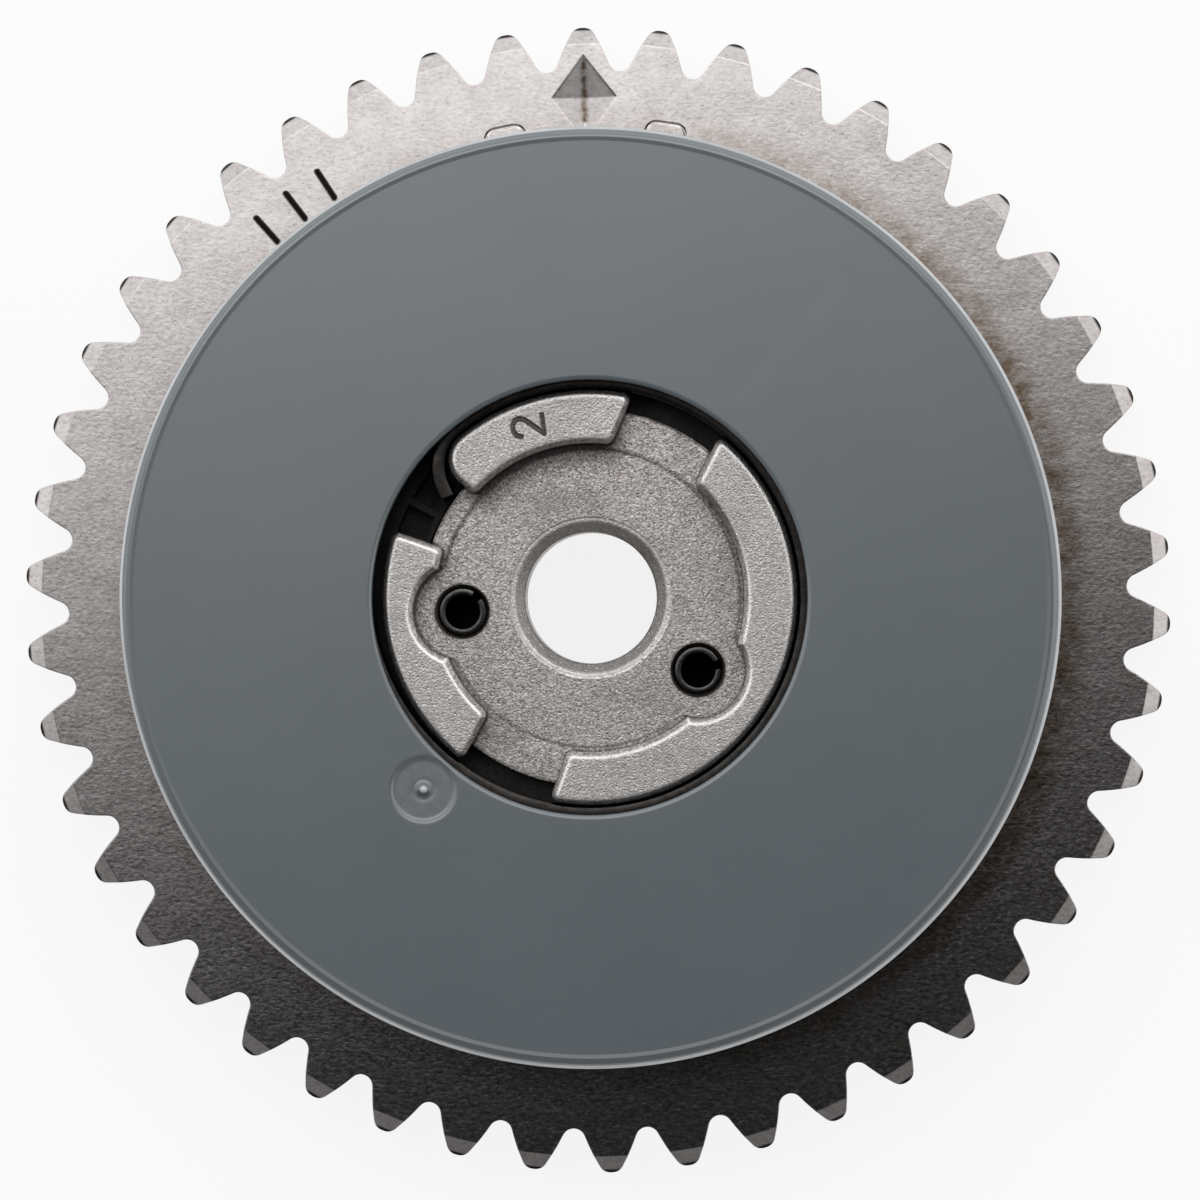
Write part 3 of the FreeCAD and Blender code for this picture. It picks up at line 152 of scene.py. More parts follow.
def sweptPiece(route, outward, profile):
    # The closed profile of (offset, height) at every point of a route: offsets go along
    # the outward direction there and heights along Z. Both ends are closed.
    flat = route[:, None, :2] + outward[:, None] * profile[None, :, :1]
    height = route[:, None, 2:] + profile[None, :, 1:]
    grid = np.concatenate([flat, height], axis=2)
    rows, columns = grid.shape[:2]
    faces = gridFaces(rows, columns, False, True).tolist()
    faces.append(list(reversed(range(columns))))
    faces.append(list(range((rows - 1) * columns, rows * columns)))
    return grid.reshape(-1, 3), faces


# Materials

class Recipe:
    # One material. Each method adds nodes and gives back the socket that goes on.
    def __init__(self, name, **settings):
        self.material = bpy.data.materials.new(name)
        self.material.use_nodes = True
        self.tree = self.material.node_tree
        self.tree.nodes.clear()
        self.shader = self.add("ShaderNodeBsdfPrincipled")
        self.output = self.add("ShaderNodeOutputMaterial")
        self.feed(self.output.inputs[0], self.shader.outputs[0])
        for socket, value in settings.items():
            self.shader.inputs[socket].default_value = value
        place = self.add("ShaderNodeTexCoord").outputs["Object"]
        self.place = self.vector("SCALE", place, scale=1 / mm)  # in millimetres

    def add(self, kind, **settings):
        node = self.tree.nodes.new(kind)
        for name, value in settings.items():
            setattr(node, name, value)
        return node

    def feed(self, socket, value):
        # Another node's socket is linked, a number or a colour is set.
        if isinstance(value, bpy.types.NodeSocket):
            self.tree.links.new(value, socket)
        else:
            socket.default_value = value

    def math(self, operation, *values, clamp=False):
        node = self.add("ShaderNodeMath", operation=operation, use_clamp=clamp)
        for socket, value in zip(node.inputs, values):
            self.feed(socket, value)
        return node.outputs[0]

    def product(self, value, *others):
        for other in others:
            value = self.math("MULTIPLY", value, other)
        return value

    def vector(self, operation, *values, scale=None):
        node = self.add("ShaderNodeVectorMath", operation=operation)
        for socket, value in zip(node.inputs, values):
            self.feed(socket, value)
        if scale is not None:
            node.inputs["Scale"].default_value = scale
        return node.outputs["Value" if operation in ("DOT_PRODUCT", "LENGTH") else "Vector"]

    def stretch(self, scale, turn=0):
        # Coordinates stretched along X, Y and Z, then turned about Z by some degrees.
        node = self.add("ShaderNodeMapping", vector_type="POINT")
        self.feed(node.inputs["Vector"], self.place)
        node.inputs["Rotation"].default_value = (0, 0, math.radians(turn))
        node.inputs["Scale"].default_value = scale
        return node.outputs[0]

    def noise(self, scale, detail=3, roughness=0.55, place=None):
        node = self.add("ShaderNodeTexNoise")
        self.feed(node.inputs["Vector"], place or self.place)
        node.inputs["Scale"].default_value = scale
        node.inputs["Detail"].default_value = detail
        node.inputs["Roughness"].default_value = roughness
        return node.outputs["Fac"]

    def cells(self, scale):
        node = self.add("ShaderNodeTexVoronoi")
        self.feed(node.inputs["Vector"], self.place)
        node.inputs["Scale"].default_value = scale
        return node.outputs["Distance"]

    def span(self, value, fromLow, fromHigh, toLow=0.0, toHigh=1.0, smooth=False):
        # The first limit gives toLow, the second toHigh, and a value between them its share.
        kind = "SMOOTHSTEP" if smooth else "LINEAR"
        node = self.add("ShaderNodeMapRange", interpolation_type=kind)
        for socket, number in zip(node.inputs, (value, fromLow, fromHigh, toLow, toHigh)):
            self.feed(socket, number)
        return node.outputs[0]

    def blend(self, share, first, second):
        node = self.add("ShaderNodeMix", data_type="RGBA")
        sockets = node.inputs[0], node.inputs[6], node.inputs[7]  # the factor and two colours
        for socket, value in zip(sockets, (share, first, second)):
            self.feed(socket, (*value, 1) if isinstance(value, tuple) else value)
        return node.outputs[2]

    def bump(self, height, depth, below=None):
        # Height from 0 to 1 stands for a depth in millimetres.
        node = self.add("ShaderNodeBump")
        node.inputs["Distance"].default_value = depth * mm
        self.feed(node.inputs["Height"], height)
        if below is not None:
            self.feed(node.inputs["Normal"], below)
        return node.outputs[0]

    def roundEdges(self, radius):
        node = self.add("ShaderNodeBevel", samples=4)
        node.inputs["Radius"].default_value = radius * mm
        return node.outputs[0]

    def geometry(self, name):
        return self.add("ShaderNodeNewGeometry").outputs[name]

    def partZ(self, vector):
        node = self.add("ShaderNodeSeparateXYZ")
        self.feed(node.inputs[0], vector)
        return node.outputs["Z"]

    def heights(self):
        return self.partZ(self.place)

    def radii(self):
        return self.vector("LENGTH", self.vector("MULTIPLY", self.place, (1, 1, 0)))

    def edgeMask(self, radius):
        # 1 where the surface bends within the radius: there the rounded normal leaves the
        # true one, and the cosine between them falls.
        cosine = self.vector("DOT_PRODUCT", self.roundEdges(radius), self.geometry("True Normal"))
        return self.span(cosine, 0.998, 0.965)

    def finish(self, colour, roughness, normal):
        for socket, value in (("Base Color", colour), ("Roughness", roughness), ("Normal", normal)):
            self.feed(self.shader.inputs[socket], value)
        return self.material


def strokeGroup():
    # Distance in the plane from a point P to the line from A to B:
    # the length of (P - A) - h (B - A), with h = (P - A).(B - A) / (B - A).(B - A) from 0 to 1.
    group = bpy.data.node_groups.new("strokeDistance", "ShaderNodeTree")
    for name in ("Place", "From", "To"):
        group.interface.new_socket(name, in_out="INPUT", socket_type="NodeSocketVector")
    group.interface.new_socket("Distance", in_out="OUTPUT", socket_type="NodeSocketFloat")
    inside, outside = group.nodes.new("NodeGroupInput"), group.nodes.new("NodeGroupOutput")

    def step(kind, operation, first, second, **settings):
        node = group.nodes.new(kind)
        node.operation = operation
        for name, value in settings.items():
            setattr(node, name, value)
        group.links.new(first, node.inputs[0])
        group.links.new(second, node.inputs["Scale" if operation == "SCALE" else 1])
        return node.outputs["Value" if operation in ("DOT_PRODUCT", "DISTANCE", "DIVIDE") else "Vector"]

    vectorMath = "ShaderNodeVectorMath"
    toPlace = step(vectorMath, "SUBTRACT", inside.outputs["Place"], inside.outputs["From"])
    toEnd = step(vectorMath, "SUBTRACT", inside.outputs["To"], inside.outputs["From"])
    along = step(vectorMath, "DOT_PRODUCT", toPlace, toEnd)
    whole = step(vectorMath, "DOT_PRODUCT", toEnd, toEnd)
    share = step("ShaderNodeMath", "DIVIDE", along, whole, use_clamp=True)
    foot = step(vectorMath, "SCALE", toEnd, share)
    group.links.new(step(vectorMath, "DISTANCE", toPlace, foot), outside.inputs["Distance"])
    return group


strokeDistance = strokeGroup()


def strokesMask(recipe, strokes, halfWidth, edge=0.12):
    # 1 on the strokes and 0 beside them, with a soft edge of that half width. A stroke is
    # a row of points in millimetres.
    flat = recipe.vector("MULTIPLY", recipe.place, (1, 1, 0))
    nearest = None
    for line in strokes:
        for start, end in zip(line[:-1], line[1:]):
            node = recipe.add("ShaderNodeGroup", node_tree=strokeDistance)
            recipe.feed(node.inputs["Place"], flat)
            node.inputs["From"].default_value = (*start, 0)
            node.inputs["To"].default_value = (*end, 0)
            distance = node.outputs["Distance"]
            nearest = distance if nearest is None else recipe.math("MINIMUM", nearest, distance)
    return recipe.span(nearest, halfWidth - edge, halfWidth + edge, 1.0, 0.0, smooth=True)


def dotMask(recipe, middle, radius, edge):
    # 1 round a point: a stroke of hardly any length.
    return strokesMask(recipe, [[tuple(middle), (middle[0] + 0.01, middle[1])]], radius, edge)


def placedStrokes(shape, centre, turn, height):
    # Strokes drawn in a box of height 1 about its middle, set at a place and turned.
    angle = math.radians(turn)
    spin = np.array([[math.cos(angle), math.sin(angle)], [-math.sin(angle), math.cos(angle)]])
    return [[tuple(point) for point in np.asarray(line) @ spin * height + np.asarray(centre)]
            for line in shape]


# Ground steel of the sprocket, with its pressed mark, stamped strokes and coined slots

sprocketLook = {
    "colour": (0.47, 0.445, 0.44),
    "darkColour": (0.33, 0.31, 0.30),
    "lightColour": (0.64, 0.62, 0.61),
    "poreColour": (0.10, 0.09, 0.08),
    "roughness": 0.14,
    "grindStretch": (1.4, 2.8, 1.0),  # the grinding lines run along X and are finer along Y
    "grindTurn": 8,  # degrees that their pattern is turned after the stretch
    "grindDepth": 0.012,
    "mottleDepth": 0.02,
    "edgeRadius": 0.2,
    "filmColour": (0.16, 0.11, 0.07),  # brown film round the cover
    "filmRadii": (49.8, 53.2),  # it thins out between them
    "coveredRadii": (46.0, 48.0),  # and fills up here, under the cover's rim
    "paleBandColour": (0.60, 0.59, 0.58),  # bands that the chain's links have rubbed bright
    "paleBandRadii": (56.6, 57.6),
    "tipRadius": 60.82,
    "tipShadeColour": (0.03, 0.028, 0.025),  # painted shade along the outermost edge
    "markAngle": 91.46,
    "markRadii": (50.7, 58.5),
    "markRoughness": 0.32,  # more than the face's
    "markLineColour": (0.10, 0.06, 0.03),
    "markLineRadii": (48.0, 58.0),
    "markLineHalfWidth": 0.3,
    "indexColour": (0.012, 0.010, 0.008),  # three stamped strokes
    "indexAngles": (131.8, 127.5, 123.2),
    "indexRadii": (51.0, 54.3),
    "indexHalfWidth": 0.29,
    "indexDepth": 0.35,
    "slotColour": (0.16, 0.15, 0.14),  # coined slots, half under the cover
    "slotRadius": 50.0,
    "slotAngles": (81.6, 101.2),
    "slotHalfLength": 1.0,
    "slotHalfWidth": 1.1,
    "slotRim": 0.12,
    "slotDepth": 0.05,
}


def indexMask(recipe, look):
    # The stamped strokes, each along a radius.
    strokes = [[tuple(polar(radius, angle)) for radius in look["indexRadii"]]
               for angle in look["indexAngles"]]
    return strokesMask(recipe, strokes, look["indexHalfWidth"])


def slotsMask(recipe, look):
    # The rims of the coined slots: wide strokes less narrow ones.
    lines = []
    for angle in look["slotAngles"]:
        middle, reach = polar(look["slotRadius"], angle), look["slotHalfLength"] * polar(1, angle + 90)
        lines.append([tuple(middle - reach), tuple(middle + reach)])
    wide = strokesMask(recipe, lines, look["slotHalfWidth"] + look["slotRim"])
    narrow = strokesMask(recipe, lines, look["slotHalfWidth"] - look["slotRim"])
    return recipe.math("SUBTRACT", wide, narrow, clamp=True)


def sprocketMaterial(look):
    recipe = Recipe("groundSteel", Metallic=1.0)
    lines = recipe.noise(1.0, 3, 0.6, recipe.stretch(look["grindStretch"], look["grindTurn"]))
    crossing = recipe.noise(1.0, 3, 0.6, recipe.stretch((2.0, 2.0, 1.0), look["grindTurn"] + 30))
    grind = recipe.math("ADD", recipe.product(lines, 0.55), recipe.product(crossing, 0.45))
    mottle = recipe.noise(0.3, 5, 0.65)
    pores = recipe.span(recipe.cells(1.3), 0.05, 0.16, 1.0, 0.0)
    # Where things are: on the front face, near it, on the flanks of the teeth, in the mark
    height, radial = recipe.heights(), recipe.radii()
    onFace = recipe.span(height, sprocketFace - 0.1, sprocketFace - 0.02)
    nearFace = recipe.span(height, sprocketFace - 2.2, sprocketFace - 2.0)
    facing = recipe.math("ABSOLUTE", recipe.partZ(recipe.geometry("Normal")))
    flanks = recipe.span(facing, 0.3, 0.5, 1.0, 0.0)
    inner, outer = look["markRadii"]
    inMark = recipe.product(recipe.span(height, sprocketFace - 0.12, sprocketFace - 0.02, 1.0, 0.0),
                            recipe.span(radial, outer - 0.1, outer + 0.1, 1.0, 0.0),
                            recipe.span(radial, inner - 0.1, inner + 0.1), nearFace)
    stamped = recipe.product(indexMask(recipe, look), onFace)
    coined = recipe.product(slotsMask(recipe, look), onFace)
    # Ground surface
    colour = recipe.blend(recipe.span(mottle, 0.35, 0.65, 0.0, 0.6), look["colour"], look["darkColour"])
    colour = recipe.blend(recipe.span(grind, 0.42, 0.62, 0.0, 0.45), colour, look["lightColour"])
    colour = recipe.blend(recipe.span(grind, 0.45, 0.33, 0.0, 0.45), colour, look["darkColour"])
    colour = recipe.blend(recipe.product(pores, 0.6), colour, look["poreColour"])
    # Brown film, strongest close to the cover and towards the right
    sideways = recipe.vector("DOT_PRODUCT", recipe.place, (1 / look["tipRadius"], 0, 0))
    nearCover = recipe.product(recipe.span(radial, *look["filmRadii"], 1.0, 0.15, smooth=True),
                               recipe.span(radial, *look["coveredRadii"], 0.4, 1.0),
                               recipe.span(sideways, 0.0, 0.75, 0.3, 1.3))
    film = recipe.product(recipe.span(recipe.noise(0.5, 5, 0.7), 0.34, 0.62, 0.3, 1.0), nearCover)
    colour = recipe.blend(recipe.math("MULTIPLY", film, 0.75, clamp=True), colour, look["filmColour"])
    # Bright bands on the flanks of the teeth
    paleBand = recipe.product(flanks, recipe.span(radial, *look["paleBandRadii"]),
                            recipe.span(lines, 0.35, 0.5, 0.4, 1.0))
    colour = recipe.blend(paleBand, colour, look["paleBandColour"])
    # Brown line down the middle of the mark
    middle = [[tuple(polar(radius, look["markAngle"])) for radius in look["markLineRadii"]]]
    half = look["markLineHalfWidth"]
    line = recipe.product(strokesMask(recipe, middle, half, half), inMark,
                          recipe.span(recipe.noise(1.2), 0.35, 0.6, 0.3, 1.0), 0.95)
    colour = recipe.blend(line, colour, look["markLineColour"])
    # Painted shade along the outer edge of the tips
    tipShade = recipe.product(recipe.span(radial, look["tipRadius"] - 0.42, look["tipRadius"] - 0.22),
                          nearFace, recipe.math("SUBTRACT", 1.0, flanks))
    colour = recipe.blend(tipShade, colour, look["tipShadeColour"])
    colour = recipe.blend(recipe.product(coined, 0.3), colour, look["slotColour"])
    colour = recipe.blend(stamped, colour, look["indexColour"])
    roughness = recipe.span(grind, 0.3, 0.7, look["roughness"] - 0.03, look["roughness"] + 0.05)
    roughness = recipe.math("ADD", roughness, recipe.product(stamped, 0.4))
    roughness = recipe.math("ADD", roughness, recipe.product(inMark, look["markRoughness"]))
    normal = recipe.bump(grind, look["grindDepth"], recipe.roundEdges(look["edgeRadius"]))
    normal = recipe.bump(mottle, look["mottleDepth"], normal)
    normal = recipe.bump(coined, -look["slotDepth"], normal)
    normal = recipe.bump(stamped, -look["indexDepth"], normal)
    return recipe.finish(colour, roughness, normal)


# Blasted steel of the spring carrier, with its numeral

carrierLook = {
    "colour": (0.44, 0.40, 0.38),
    "darkColour": (0.20, 0.18, 0.17),
    "lightColour": (0.62, 0.59, 0.57),
    "grainColour": (0.80, 0.78, 0.76),  # single bright grains
    "patchColour": (0.2, 0.18, 0.165),
    "pitColour": (0.10, 0.09, 0.085),
    "roughness": 0.38,
    "grainDepth": 0.055,
    "pitDepth": 0.03,
    "edgeRadius": 0.5,
    "rimWearAndHighlightColour": (0.95, 0.94, 0.93),  # worn bare metal at the rims, lightened further as a painted highlight
    "shadeColour": (0.02, 0.018, 0.016),  # in the numeral, on the lugs' sides and at their feet
    "shadeRadii": (8.6, 9.0),  # sides and feet are dark outside these
    "mouthRadii": (8.15, 8.35),  # smooth mouth of the bore
    "mouthHeights": (29, 30),
    "lugShadowColour": (0.04, 0.036, 0.032),  # painted shadow on the disc along the inside of the top lug
    "lugShadowRadius": 15.4,
    "lugShadowAngles": (84, 136),
    "lugShadowHalfWidth": 1.5,
    "numeralCentre": (-6.3, 17.4),
    "numeralTurn": 98,  # degrees; the numeral lies on its side
    "numeralHeight": 3.1,
    "numeralHalfWidth": 0.21,
    "numeralDepth": 0.4,
}
twoShape = [[(-0.30, 0.26), (-0.24, 0.41), (-0.08, 0.5), (0.10, 0.5), (0.25, 0.41), (0.30, 0.25),
             (0.24, 0.08), (-0.30, -0.5), (0.32, -0.5)]]


def numeralMask(recipe, look):
    strokes = placedStrokes(twoShape, look["numeralCentre"], look["numeralTurn"], look["numeralHeight"])
    return strokesMask(recipe, strokes, look["numeralHalfWidth"], 0.10)


# Painted shadow of the top lug: a soft band on the disc along an arc
def lugShadowMask(recipe, look):
    arc = [tuple(polar(look["lugShadowRadius"], angle)) for angle in np.linspace(*look["lugShadowAngles"], 8)]
    return strokesMask(recipe, [arc], look["lugShadowHalfWidth"], look["lugShadowHalfWidth"])


def carrierMaterial(look):
    recipe = Recipe("blastedSteel", Metallic=1.0)
    fine, coarse = recipe.noise(4.6, 2, 0.5), recipe.noise(1.9, 3, 0.55)
    speckle = recipe.noise(3.4, 1, 0.4, recipe.stretch((1, 1, 1), 35))
    patches = recipe.noise(0.16, 3, 0.6)
    pits = recipe.span(recipe.cells(2.6), 0.10, 0.30, 1.0, 0.0)
    # Where things are: on the lugs, at their rims, on their sides, at their feet, on the
    # disc, and in the mouth of the bore
    height, radial = recipe.heights(), recipe.radii()
    onLugs = recipe.span(height, lugTop - 0.1, lugTop - 0.02)
    edges = recipe.edgeMask(look["edgeRadius"])
    rims = recipe.product(edges, recipe.span(height, lugTop - 1.0, lugTop - 0.7))
    sides = recipe.product(recipe.span(recipe.partZ(recipe.geometry("True Normal")), 0.75, 0.9, 1.0, 0.0),
                           recipe.span(height, lugTop - 0.7, lugTop - 0.5, 1.0, 0.0))
    feet = recipe.product(edges, recipe.span(height, lugTop - 3.0, lugTop - 2.6, 1.0, 0.0))
    shade = recipe.product(recipe.math("MAXIMUM", feet, sides), recipe.span(radial, *look["shadeRadii"]))
    onDisc = recipe.span(height, lugTop - 3.5, lugTop - 3.0, 1.0, 0.0)
    mouth = recipe.product(recipe.span(radial, *look["mouthRadii"], 1.0, 0.0),
                           recipe.span(height, *look["mouthHeights"]))
    cut = recipe.product(numeralMask(recipe, look), onLugs)
    # painted shadow of the top lug on the disc
    lugShadow = recipe.product(lugShadowMask(recipe, look), onDisc)
    # worn bare metal at the rims and the bore's mouth, partly a painted highlight
    wearAndHighlight = recipe.math("MAXIMUM", rims, recipe.product(mouth, 0.3))
    # Blasted surface
    colour = recipe.blend(recipe.span(fine, 0.42, 0.58, 0.0, 0.85), look["colour"], look["darkColour"])
    colour = recipe.blend(recipe.span(coarse, 0.42, 0.64, 0.0, 0.45), colour, look["lightColour"])
    colour = recipe.blend(recipe.span(speckle, 0.52, 0.66, 0.0, 0.5), colour, look["grainColour"])
    colour = recipe.blend(recipe.span(patches, 0.5, 0.72, 0.0, 0.5), colour, look["patchColour"])
    colour = recipe.blend(recipe.product(pits, 0.5), colour, look["pitColour"])
    colour = recipe.blend(recipe.product(onLugs, 0.3), colour, look["lightColour"])
    # Painted shadow by the top lug, painted shade, and bare metal with a painted highlight
    colour = recipe.blend(recipe.product(lugShadow, 0.62), colour, look["lugShadowColour"])
    colour = recipe.blend(recipe.product(cut, 0.85), colour, look["shadeColour"])
    colour = recipe.blend(recipe.product(shade, 0.95), colour, look["shadeColour"])
    colour = recipe.blend(wearAndHighlight, colour, look["rimWearAndHighlightColour"])
    grain = recipe.math("ADD", recipe.product(fine, 0.6), recipe.product(coarse, 0.4))
    smooth = recipe.math("MAXIMUM", mouth, recipe.product(rims, 0.7))
    grain = recipe.product(grain, recipe.span(smooth, 0.0, 1.0, 1.0, 0.1))
    normal = recipe.bump(grain, look["grainDepth"], recipe.roundEdges(look["edgeRadius"]))
    normal = recipe.bump(pits, -look["pitDepth"], normal)
    normal = recipe.bump(cut, -look["numeralDepth"], normal)
    roughness = recipe.span(fine, 0.3, 0.7, look["roughness"] - 0.06, look["roughness"] + 0.08)
    roughness = recipe.math("SUBTRACT", roughness, recipe.product(wearAndHighlight, 0.14))
    return recipe.finish(colour, roughness, normal)


# Moulded plastic of the cover, and its gate mark

coverLook = {
    "colour": (0.101, 0.117, 0.128),
    "cloudColour": (0.091, 0.106, 0.117),
    "speckColour": (0.13, 0.14, 0.15),
    "roughness": 0.20,
    "grainDepth": 0.0012,
    "paleBandColour": (0.42, 0.44, 0.45),  # painted highlight: a pale band at the edge of the shoulder
    "highlightFrom": (36.2, 36.35),  # heights where the painted highlight starts
    "highlightTo": (37.1, 36.85),  # and where it ends, from none down to full
    "paleBandRadii": (47.4, 47.6),
    "weldColour": (0.16, 0.17, 0.175),  # where the melt met
    "weldLine": ((25.6, 31.4), (15.6, 20.3)),
    "weldHalfWidth": 0.9,
}
gateMark = {
    "placeRadius": 25.8,
    "angle": 229.2,
    "radius": 3.2,
    "depth": 0.2,
    "wallWidth": 0.14,
    "ringDepth": 0.05,  # round the nib
    "ringWidth": 0.3,
    "nibRadius": 0.55,
    "nibHeight": 0.5,
    "paleColour": (0.15, 0.165, 0.175),
    "darkColour": (0.05, 0.055, 0.06),  # round the foot of the nib
    "nibColour": (0.45, 0.46, 0.47),
    "meshMargin": 0.6,  # the mesh is finer this far round the mark
    "rowStep": 0.11,
    "columnStep": 0.26,  # degrees
    "farRows": 14,  # of the rest of the cover's face
    "farColumns": 300,
}


def coverMaterial(look, gate):
    recipe = Recipe("mouldedCover", Metallic=0.0, IOR=1.8)
    fine, broad = recipe.noise(2.4, 4, 0.6), recipe.noise(0.08, 3, 0.5)
    weld = strokesMask(recipe, [look["weldLine"]], look["weldHalfWidth"], look["weldHalfWidth"])
    colour = recipe.blend(recipe.span(broad, 0.35, 0.65, 0.0, 0.5), look["colour"], look["cloudColour"])
    colour = recipe.blend(recipe.span(fine, 0.4, 0.8, 0.0, 0.10), colour, look["speckColour"])
    colour = recipe.blend(recipe.product(weld, 0.10), colour, look["weldColour"])
    # Gate mark: paler where the plastic cooled last, palest on the torn nib
    middle, nib = polar(gate["placeRadius"], gate["angle"]), gate["nibRadius"]
    paleness = recipe.product(dotMask(recipe, middle, gate["radius"] - 0.2, 0.4),
                              recipe.span(recipe.noise(1.1, 4, 0.7), 0.3, 0.7, 0.15, 0.9))
    colour = recipe.blend(paleness, colour, gate["paleColour"])
    colour = recipe.blend(dotMask(recipe, middle, nib * 1.4, 0.2), colour, gate["darkColour"])
    colour = recipe.blend(dotMask(recipe, middle, nib * 0.6, 0.15), colour, gate["nibColour"])
    # Painted highlight on the edge of the shoulder
    height = recipe.heights()
    paleBand = recipe.product(recipe.span(height, *look["highlightFrom"]), recipe.span(height, *look["highlightTo"]),
                            recipe.span(recipe.radii(), *look["paleBandRadii"]),
                            recipe.span(broad, 0.3, 0.6, 0.5, 1.0))
    colour = recipe.blend(paleBand, colour, look["paleBandColour"])
    roughness = recipe.span(fine, 0.3, 0.7, look["roughness"] - 0.02, look["roughness"] + 0.04)
    return recipe.finish(colour, roughness, recipe.bump(fine, look["grainDepth"]))


# Plainer metals and the plastic of the pieces inside

plainMetals = {
    "sintered_steel": {
        "name": "sinteredSteel", "colour": (0.40, 0.39, 0.375), "dark": (0.24, 0.23, 0.22),
        "roughness": 0.38, "grain": 2.6, "depth": 0.02, "pinShade": 2.6},
    "dark_plate": {
        "name": "phosphatedPlate", "colour": (0.024, 0.023, 0.022), "dark": (0.010, 0.010, 0.010),
        "roughness": 0.42, "grain": 2.2, "depth": 0.004},
    "hardened_steel": {
        "name": "hardenedSteel", "colour": (0.50, 0.50, 0.49), "dark": (0.40, 0.39, 0.38),
        "roughness": 0.22, "grain": 4.0, "depth": 0.0006, "stretch": (1, 1, 5)},
    "black_spring_steel": {
        "name": "springSteel", "colour": (0.10, 0.095, 0.09), "dark": (0.02, 0.02, 0.02),
        "roughness": 0.2, "grain": 3.0, "depth": 0.002, "pinShade": 1.8},
    "spring_band": {
        "name": "rolledBand", "colour": (0.050, 0.046, 0.043), "dark": (0.014, 0.013, 0.012),
        "roughness": 0.24, "grain": 1.6, "depth": 0.002, "stretch": (1, 1, 7)},
    "bolt_steel": {
        "name": "phosphatedBolt", "colour": (0.10, 0.098, 0.095), "dark": (0.045, 0.043, 0.042),
        "roughness": 0.42, "grain": 2.4, "depth": 0.003},
}
sealLook = {"colour": (0.06, 0.045, 0.035), "darkShare": 0.6, "roughness": 0.5, "fibreDepth": 0.002}
pinShadow = (0.004, 0.004, 0.004)  # oil and shade inside the slotted pins


def metalMaterial(name, colour, dark, roughness, grain, depth, stretch=(1, 1, 1), pinShade=0):
    # Grains per millimetre, their depth, and how much finer they are along each axis;
    # pinShade is the radius that stays dark round the axes of the slotted pins.
    recipe = Recipe(name, Metallic=1.0)
    pattern = recipe.noise(grain, 4, 0.6, recipe.stretch(stretch))
    patches = recipe.noise(0.3, 4, 0.6)
    shade = recipe.blend(recipe.span(pattern, 0.35, 0.7, 0.0, 0.7), colour, dark)
    shade = recipe.blend(recipe.span(patches, 0.45, 0.75, 0.0, 0.35), shade, dark)
    if pinShade:
        shade = darkInPins(recipe, shade, pinShade)
    rough = recipe.span(patches, 0.3, 0.7, roughness - 0.05, roughness + 0.08)
    return recipe.finish(shade, rough, recipe.bump(pattern, depth, recipe.roundEdges(0.12)))


def darkInPins(recipe, shade, radius):
    # Dark within a radius of the axes of the slotted pins.
    for node in ("roll_pin_left", "roll_pin_right"):
        low, high = boxOf(node)
        shade = recipe.blend(dotMask(recipe, (low + high)[:2] / 2, radius, 0.1), shade, pinShadow)
    return shade


def sealMaterial(look):
    recipe = Recipe("sealPlastic", Metallic=0.0)
    fibres = recipe.noise(3.0, 4, 0.6, recipe.stretch((1, 1, 0.2)))
    dark = tuple(look["darkShare"] * part for part in look["colour"])
    colour = recipe.blend(recipe.span(fibres, 0.4, 0.7, 0.0, 0.5), look["colour"], dark)
    normal = recipe.bump(fibres, look["fibreDepth"], recipe.roundEdges(0.1))
    return recipe.finish(colour, look["roughness"], normal)


looks = {slot: metalMaterial(**settings) for slot, settings in plainMetals.items()}
looks["ground_steel"] = sprocketMaterial(sprocketLook)
looks["blasted_steel"] = carrierMaterial(carrierLook)
looks["grey_cover"] = coverMaterial(coverLook, gateMark)
looks["seal_plastic"] = sealMaterial(sealLook)
slotOfNode = {part["node"]: part["material_slot"] for part in frame["record"]["subparts"]}
for name, node in nodes.items():
    node.data.materials.clear()
    node.data.materials.append(looks[slotOfNode[name]])
print("materials made:", len(looks))


# Cover: one turned shell with a bevelled shoulder, its gate mark and four clips

cover = {
    "top": 38.0,  # height of its face
    "opening": 22.15,  # radius
    "wall": 1.8,
    "shoulderRounding": 0.85,
    "facetWidth": 0.3,  # steep facet under the shoulder, carrying the painted highlight
    "facetHeight": 0.7,
    "facetDrop": 1.1,
    "facetRounding": 0.2,
    "beadWidth": 1.55,  # from the outside to the inner foot of the bead round the top
    "beadHeight": 0.04,
    "beadFall": 0.03,  # of its top towards the outside
    "beadSlope": 0.4,  # width of its inner side
    "beadRounding": 0.08,
    "lipRounding": 0.4,
    "edgeRounding": 0.15,
    "innerRounding": 0.6,
    "cornerSteps": 8,  # points on each rounded corner
    "clipAngle": 12.0,
    "clipLength": 3.0,
    "clipHook": 0.8,
    "clipToe": 0.6,
    "clipGap": 0.15,  # between the hook and the front plate
    "clipRoot": 0.3,  # that reaches into the skirt
    "clipRounding": 0.12,
    "clipCount": 4,
    "firstClipAngle": 91.46,
}


